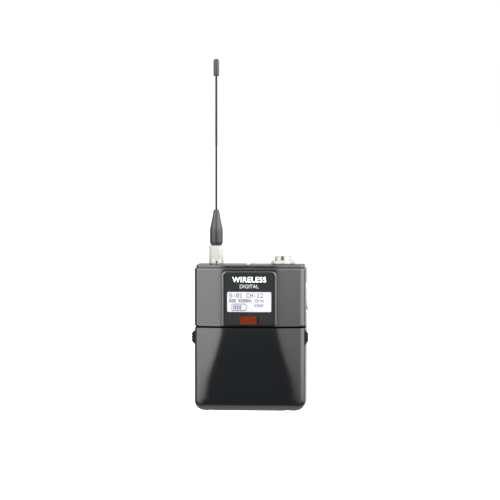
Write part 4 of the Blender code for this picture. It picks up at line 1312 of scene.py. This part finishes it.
def key_symbol(name, x, z, y):
    """The raised sign on a key: a cross, two arrows and a tick."""
    def stroke(a, b, wide=0.34):
        a, b = Vector((a[0], 0, a[1])), Vector((b[0], 0, b[1]))
        along = (b - a).normalized()
        across = Vector((along.z, 0, -along.x)) * wide / 2
        ring = [a + across, b + across, b - across, a - across]
        sections = [[(x + p.x, level, z + p.z) for p in ring] for level in (y - 0.1, y + 0.1)]
        return loft(sections)
    strokes = {
        "exit_button": (((-0.8, -0.8), (0.8, 0.8)), ((-0.8, 0.8), (0.8, -0.8))),
        "enter_button": (((-0.95, 0.0), (-0.25, -0.75)), ((-0.35, -0.75), (1.0, 0.85))),
        "up_button": (((-1.0, -0.45), (0.08, 0.6)), ((-0.08, 0.6), (1.0, -0.45))),
        "down_button": (((-1.0, 0.45), (0.08, -0.6)), ((-0.08, -0.6), (1.0, 0.45))),
    }
    lines = [stroke(a, b) for a, b in strokes[name]]
    return join(lines[0], lines[1])


def build_keys():
    for name in ("exit_button", "down_button", "up_button", "enter_button"):
        low, high = span(name)
        centre = face(low, high)[0]
        sections = []
        crown = [(low.y, 0.75), (low.y + 0.12, 0.35), (low.y + 0.4, 0.08), (low.y + 0.8, 0.0)]
        for y, inset in [*crown, (high.y - 0.1, 0.0)]:
            outline = rounded_rectangle(centre, 7.0 - 2 * inset, 4.6 - 2 * inset, 0.9)
            sections.append([(x, y, z) for x, z in outline])
        key = loft(sections)
        join(key, slab(centre, (8.4, 6.0), 0.7, "Y", high.y - 0.3, high.y))
        body = name.replace("_button", "_key")
        place(key, f"{body}_cap", "key_rubber", body, name, sharp=35)
        sign = key_symbol(name, *centre, low.y)
        place(sign, f"{body}_sign", "print_white", body, sharp=30)


# ---------------------------------------------------------------- carried-over CAD nodes

def dress(node, material, ease):
    """Gives a CAD node that stays its material and rounded edges."""
    piece = frame["nodes"][node]
    piece.data.materials.clear()
    piece.data.materials.append(MATERIALS[material])
    weld = piece.modifiers.new("weld", "WELD")
    weld.merge_threshold = 0.000002
    add_bevel(piece, ease * MM, 2, 35.0)
    add_even_normals(piece)
    for polygon in piece.data.polygons:
        polygon.use_smooth = True


# ---------------------------------------------------------------- studio

def soft_panel(name, azimuths, distance, heights, radiance):
    """An upright light panel between two azimuths; 0 is in front and +90 on the socket's side."""
    middle_turn = math.radians(sum(azimuths) / 2)
    half_turn = math.radians(abs(azimuths[1] - azimuths[0]) / 2)
    away = Vector((math.sin(middle_turn), -math.cos(middle_turn), 0))
    panel_light(name, away, distance, 2 * distance * math.tan(half_turn), heights, radiance)


def panel_light(name, away, distance, width, heights, radiance):
    """A rectangular lamp that faces back along a direction, with a given radiance."""
    light = bpy.data.lights.new(name, "AREA")
    light.shape = "RECTANGLE"
    light.size = width
    light.size_y = heights[1] - heights[0]
    light.energy = radiance * math.pi * light.size * light.size_y
    lamp = linked(name, light)
    lamp.location = away * distance + Vector((0, 0, sum(heights) / 2))
    lamp.rotation_euler = away.to_track_quat("Z", "Y").to_euler()
    lamp.visible_camera = False
    return lamp


# Each panel's name, azimuths, distance, heights and radiance.
FRONT_PANELS = (
    ("left_low_panel", (-78, -16), 0.62, (-0.06, 0.06), 2.75),
    ("left_panel", (-78, -16), 0.62, (0.06, 0.25), 3.5),
    ("left_upper_panel", (-78, -16), 0.62, (0.25, 0.85), 5.4),
    ("right_low_panel", (8, 32), 0.75, (-0.06, 0.02), 1.15),
    ("right_front_panel", (8, 32), 0.75, (0.02, 0.30), 1.95),
    ("right_upper_panel", (8, 32), 0.75, (0.30, 0.90), 4.2),
    ("side_low_panel", (32, 106), 0.62, (-0.05, 0.05), 3.0),
    ("right_side_panel", (32, 106), 0.62, (0.05, 0.30), 4.1),
    ("side_upper_panel", (32, 106), 0.62, (0.30, 0.85), 6.5),
)
BACK_PANELS = (
    ("back_left_panel", (-168, -132), 1.2, (0.1, 0.9), 0.8),
    ("back_right_panel", (120, 165), 1.2, (0.1, 0.9), 0.8),
)


def build_lights():
    for panel in FRONT_PANELS:
        soft_panel(*panel)
    top = panel_light("top_panel", Vector((0, 0, 1)), 1.0, 1.2, (-0.6, 0.6), 2.1)
    top.location = (0, 0, 1.1)
    for panel in BACK_PANELS:
        soft_panel(*panel)


def build_world():
    """White to the camera; for light, a white sweep behind and below and a dim room in front."""
    world = bpy.data.worlds.new("studio")
    bpy.context.scene.world = world
    world.use_nodes = True
    tree = world.node_tree
    tree.nodes.clear()

    def background():
        shade = add_node(tree, "Background")
        shade.inputs["Color"].default_value = (1.0, 1.0, 1.0, 1.0)
        shade.inputs["Strength"].default_value = 1.0
        return shade

    def glow(socket, *limits):
        return add_range(tree, direction.outputs[socket], limits, interpolation_type="SMOOTHSTEP")

    direction = add_node(tree, "SeparateXYZ")
    around = add_node(tree, "TexCoord").outputs["Generated"]
    tree.links.new(around, direction.inputs["Vector"])
    most = glow("Y", -0.10, 0.45, 0.01, 0.72)
    for other in (glow("Z", -0.72, -0.25, 1.0, 0.0), glow("Z", -0.11, -0.01, 0.0, 0.20)):
        brighter = add_node(tree, "Math", operation="MAXIMUM")
        tree.links.new(most, brighter.inputs[0])
        tree.links.new(other, brighter.inputs[1])
        most = brighter.outputs["Value"]
    room, sweep = background(), background()
    tree.links.new(most, room.inputs["Strength"])
    mix = add_node(tree, "MixShader")
    tree.links.new(add_node(tree, "LightPath").outputs["Is Camera Ray"], mix.inputs[0])
    tree.links.new(room.outputs[0], mix.inputs[1])
    tree.links.new(sweep.outputs[0], mix.inputs[2])
    tree.links.new(mix.outputs[0], add_node(tree, "OutputWorld").inputs["Surface"])


def build_floor():
    """A pale seamless floor. The pack stands clear of it, so that the open door can hang past level."""
    bm = bmesh.new()
    bmesh.ops.create_circle(bm, cap_ends=True, segments=96, radius=6.0)
    mesh = bpy.data.meshes.new("floor")
    bm.to_mesh(mesh)
    bm.free()
    floor = linked("floor", mesh)
    floor.location.z = cad_box[0][2] - FLOOR_DROP * MM
    shader = Shader("floor_pale", (0.90, 0.90, 0.90), 0.9, Emission_Strength=1.0)
    away = shader.math("MULTIPLY", shader.axis("X"), shader.axis("X"))
    deep = shader.math("MULTIPLY", shader.axis("Y"), shader.axis("Y"))
    radius = shader.math("SQRT", shader.math("ADD", away, deep), 0.0)
    share = shader.ranged(radius, 0.15, 1.2, 0.0, 1.0)
    speckle = shader.mixed(shader.noise(40.0, 3.0), (0.64, 0.64, 0.64), (0.66, 0.66, 0.66))
    shader.wire(shader.mixed(share, speckle, (1.0, 1.0, 1.0)), shader.out, "Emission Color")
    floor.data.materials.append(shader.material)
    floor.visible_glossy = False
    floor.visible_shadow = False


def build_camera():
    """A long lens, a little to the socket's side and just above level."""
    azimuth, elevation = math.radians(4.5), math.radians(3.0)
    distance = 2.4
    view_width = 0.2938
    aim = Vector((-0.0004, 0.0, 0.0943))
    away = Vector((
        math.sin(azimuth) * math.cos(elevation),
        -math.cos(azimuth) * math.cos(elevation),
        math.sin(elevation),
    ))
    camera = bpy.data.cameras.new("camera")
    camera.sensor_width = 36.0
    camera.lens = camera.sensor_width * distance / view_width
    camera.clip_end = 50.0
    holder = linked("camera", camera)
    holder.location = aim + away * distance
    holder.rotation_euler = away.to_track_quat("Z", "Y").to_euler()
    bpy.context.scene.camera = holder


# ---------------------------------------------------------------- assembly

build_camera()
build_world()
build_lights()
build_floor()
bpy.context.scene.view_settings.view_transform = "Standard"

build_rear_shell()
build_front_shell()
build_seam_lip()
build_seam_tongue()
build_bezel()
build_door_shell()
build_cap_shell()
build_display()
printed_word("WIRELESS", 3.2, 19.8, 77.5, 0.07, "front_word", "print_white")
printed_word("DIGITAL", 2.2, 11.0, 73.5, 0.0, "front_word_small", "print_grey")
for word, side in (("left", -1), ("right", 1)):
    build_latch(word, side)
    build_latch_spring(word, side)
build_antenna_nut()
build_antenna()
build_antenna_jack()
build_mic_socket()
build_power_switch()
build_status_led()
build_belt_clip()
build_screws()
build_label()
for level, side in (("lower", 1), ("upper", -1)):
    build_cell(level, side)
    build_contacts(level, side)
build_polarity_marks()
build_keys()

# The CAD nodes that are shown as they are: their materials and how far their edges are rounded.
for node, material, ease in (
    ("battery_tray", "tray_plastic", 0.2),
    ("button_frame", "black_plastic", 0.15),
    ("power_switch_body", "black_plastic", 0.15),
    ("door_hinge_pin", "steel", 0.08),
    ("main_board", "board", 0.06),
    ("rf_shield", "tin", 0.2),
    ("lcd_module", "white_plastic", 0.1),
    ("display_gasket", "foam", 0.05),
):
    dress(node, material, ease)
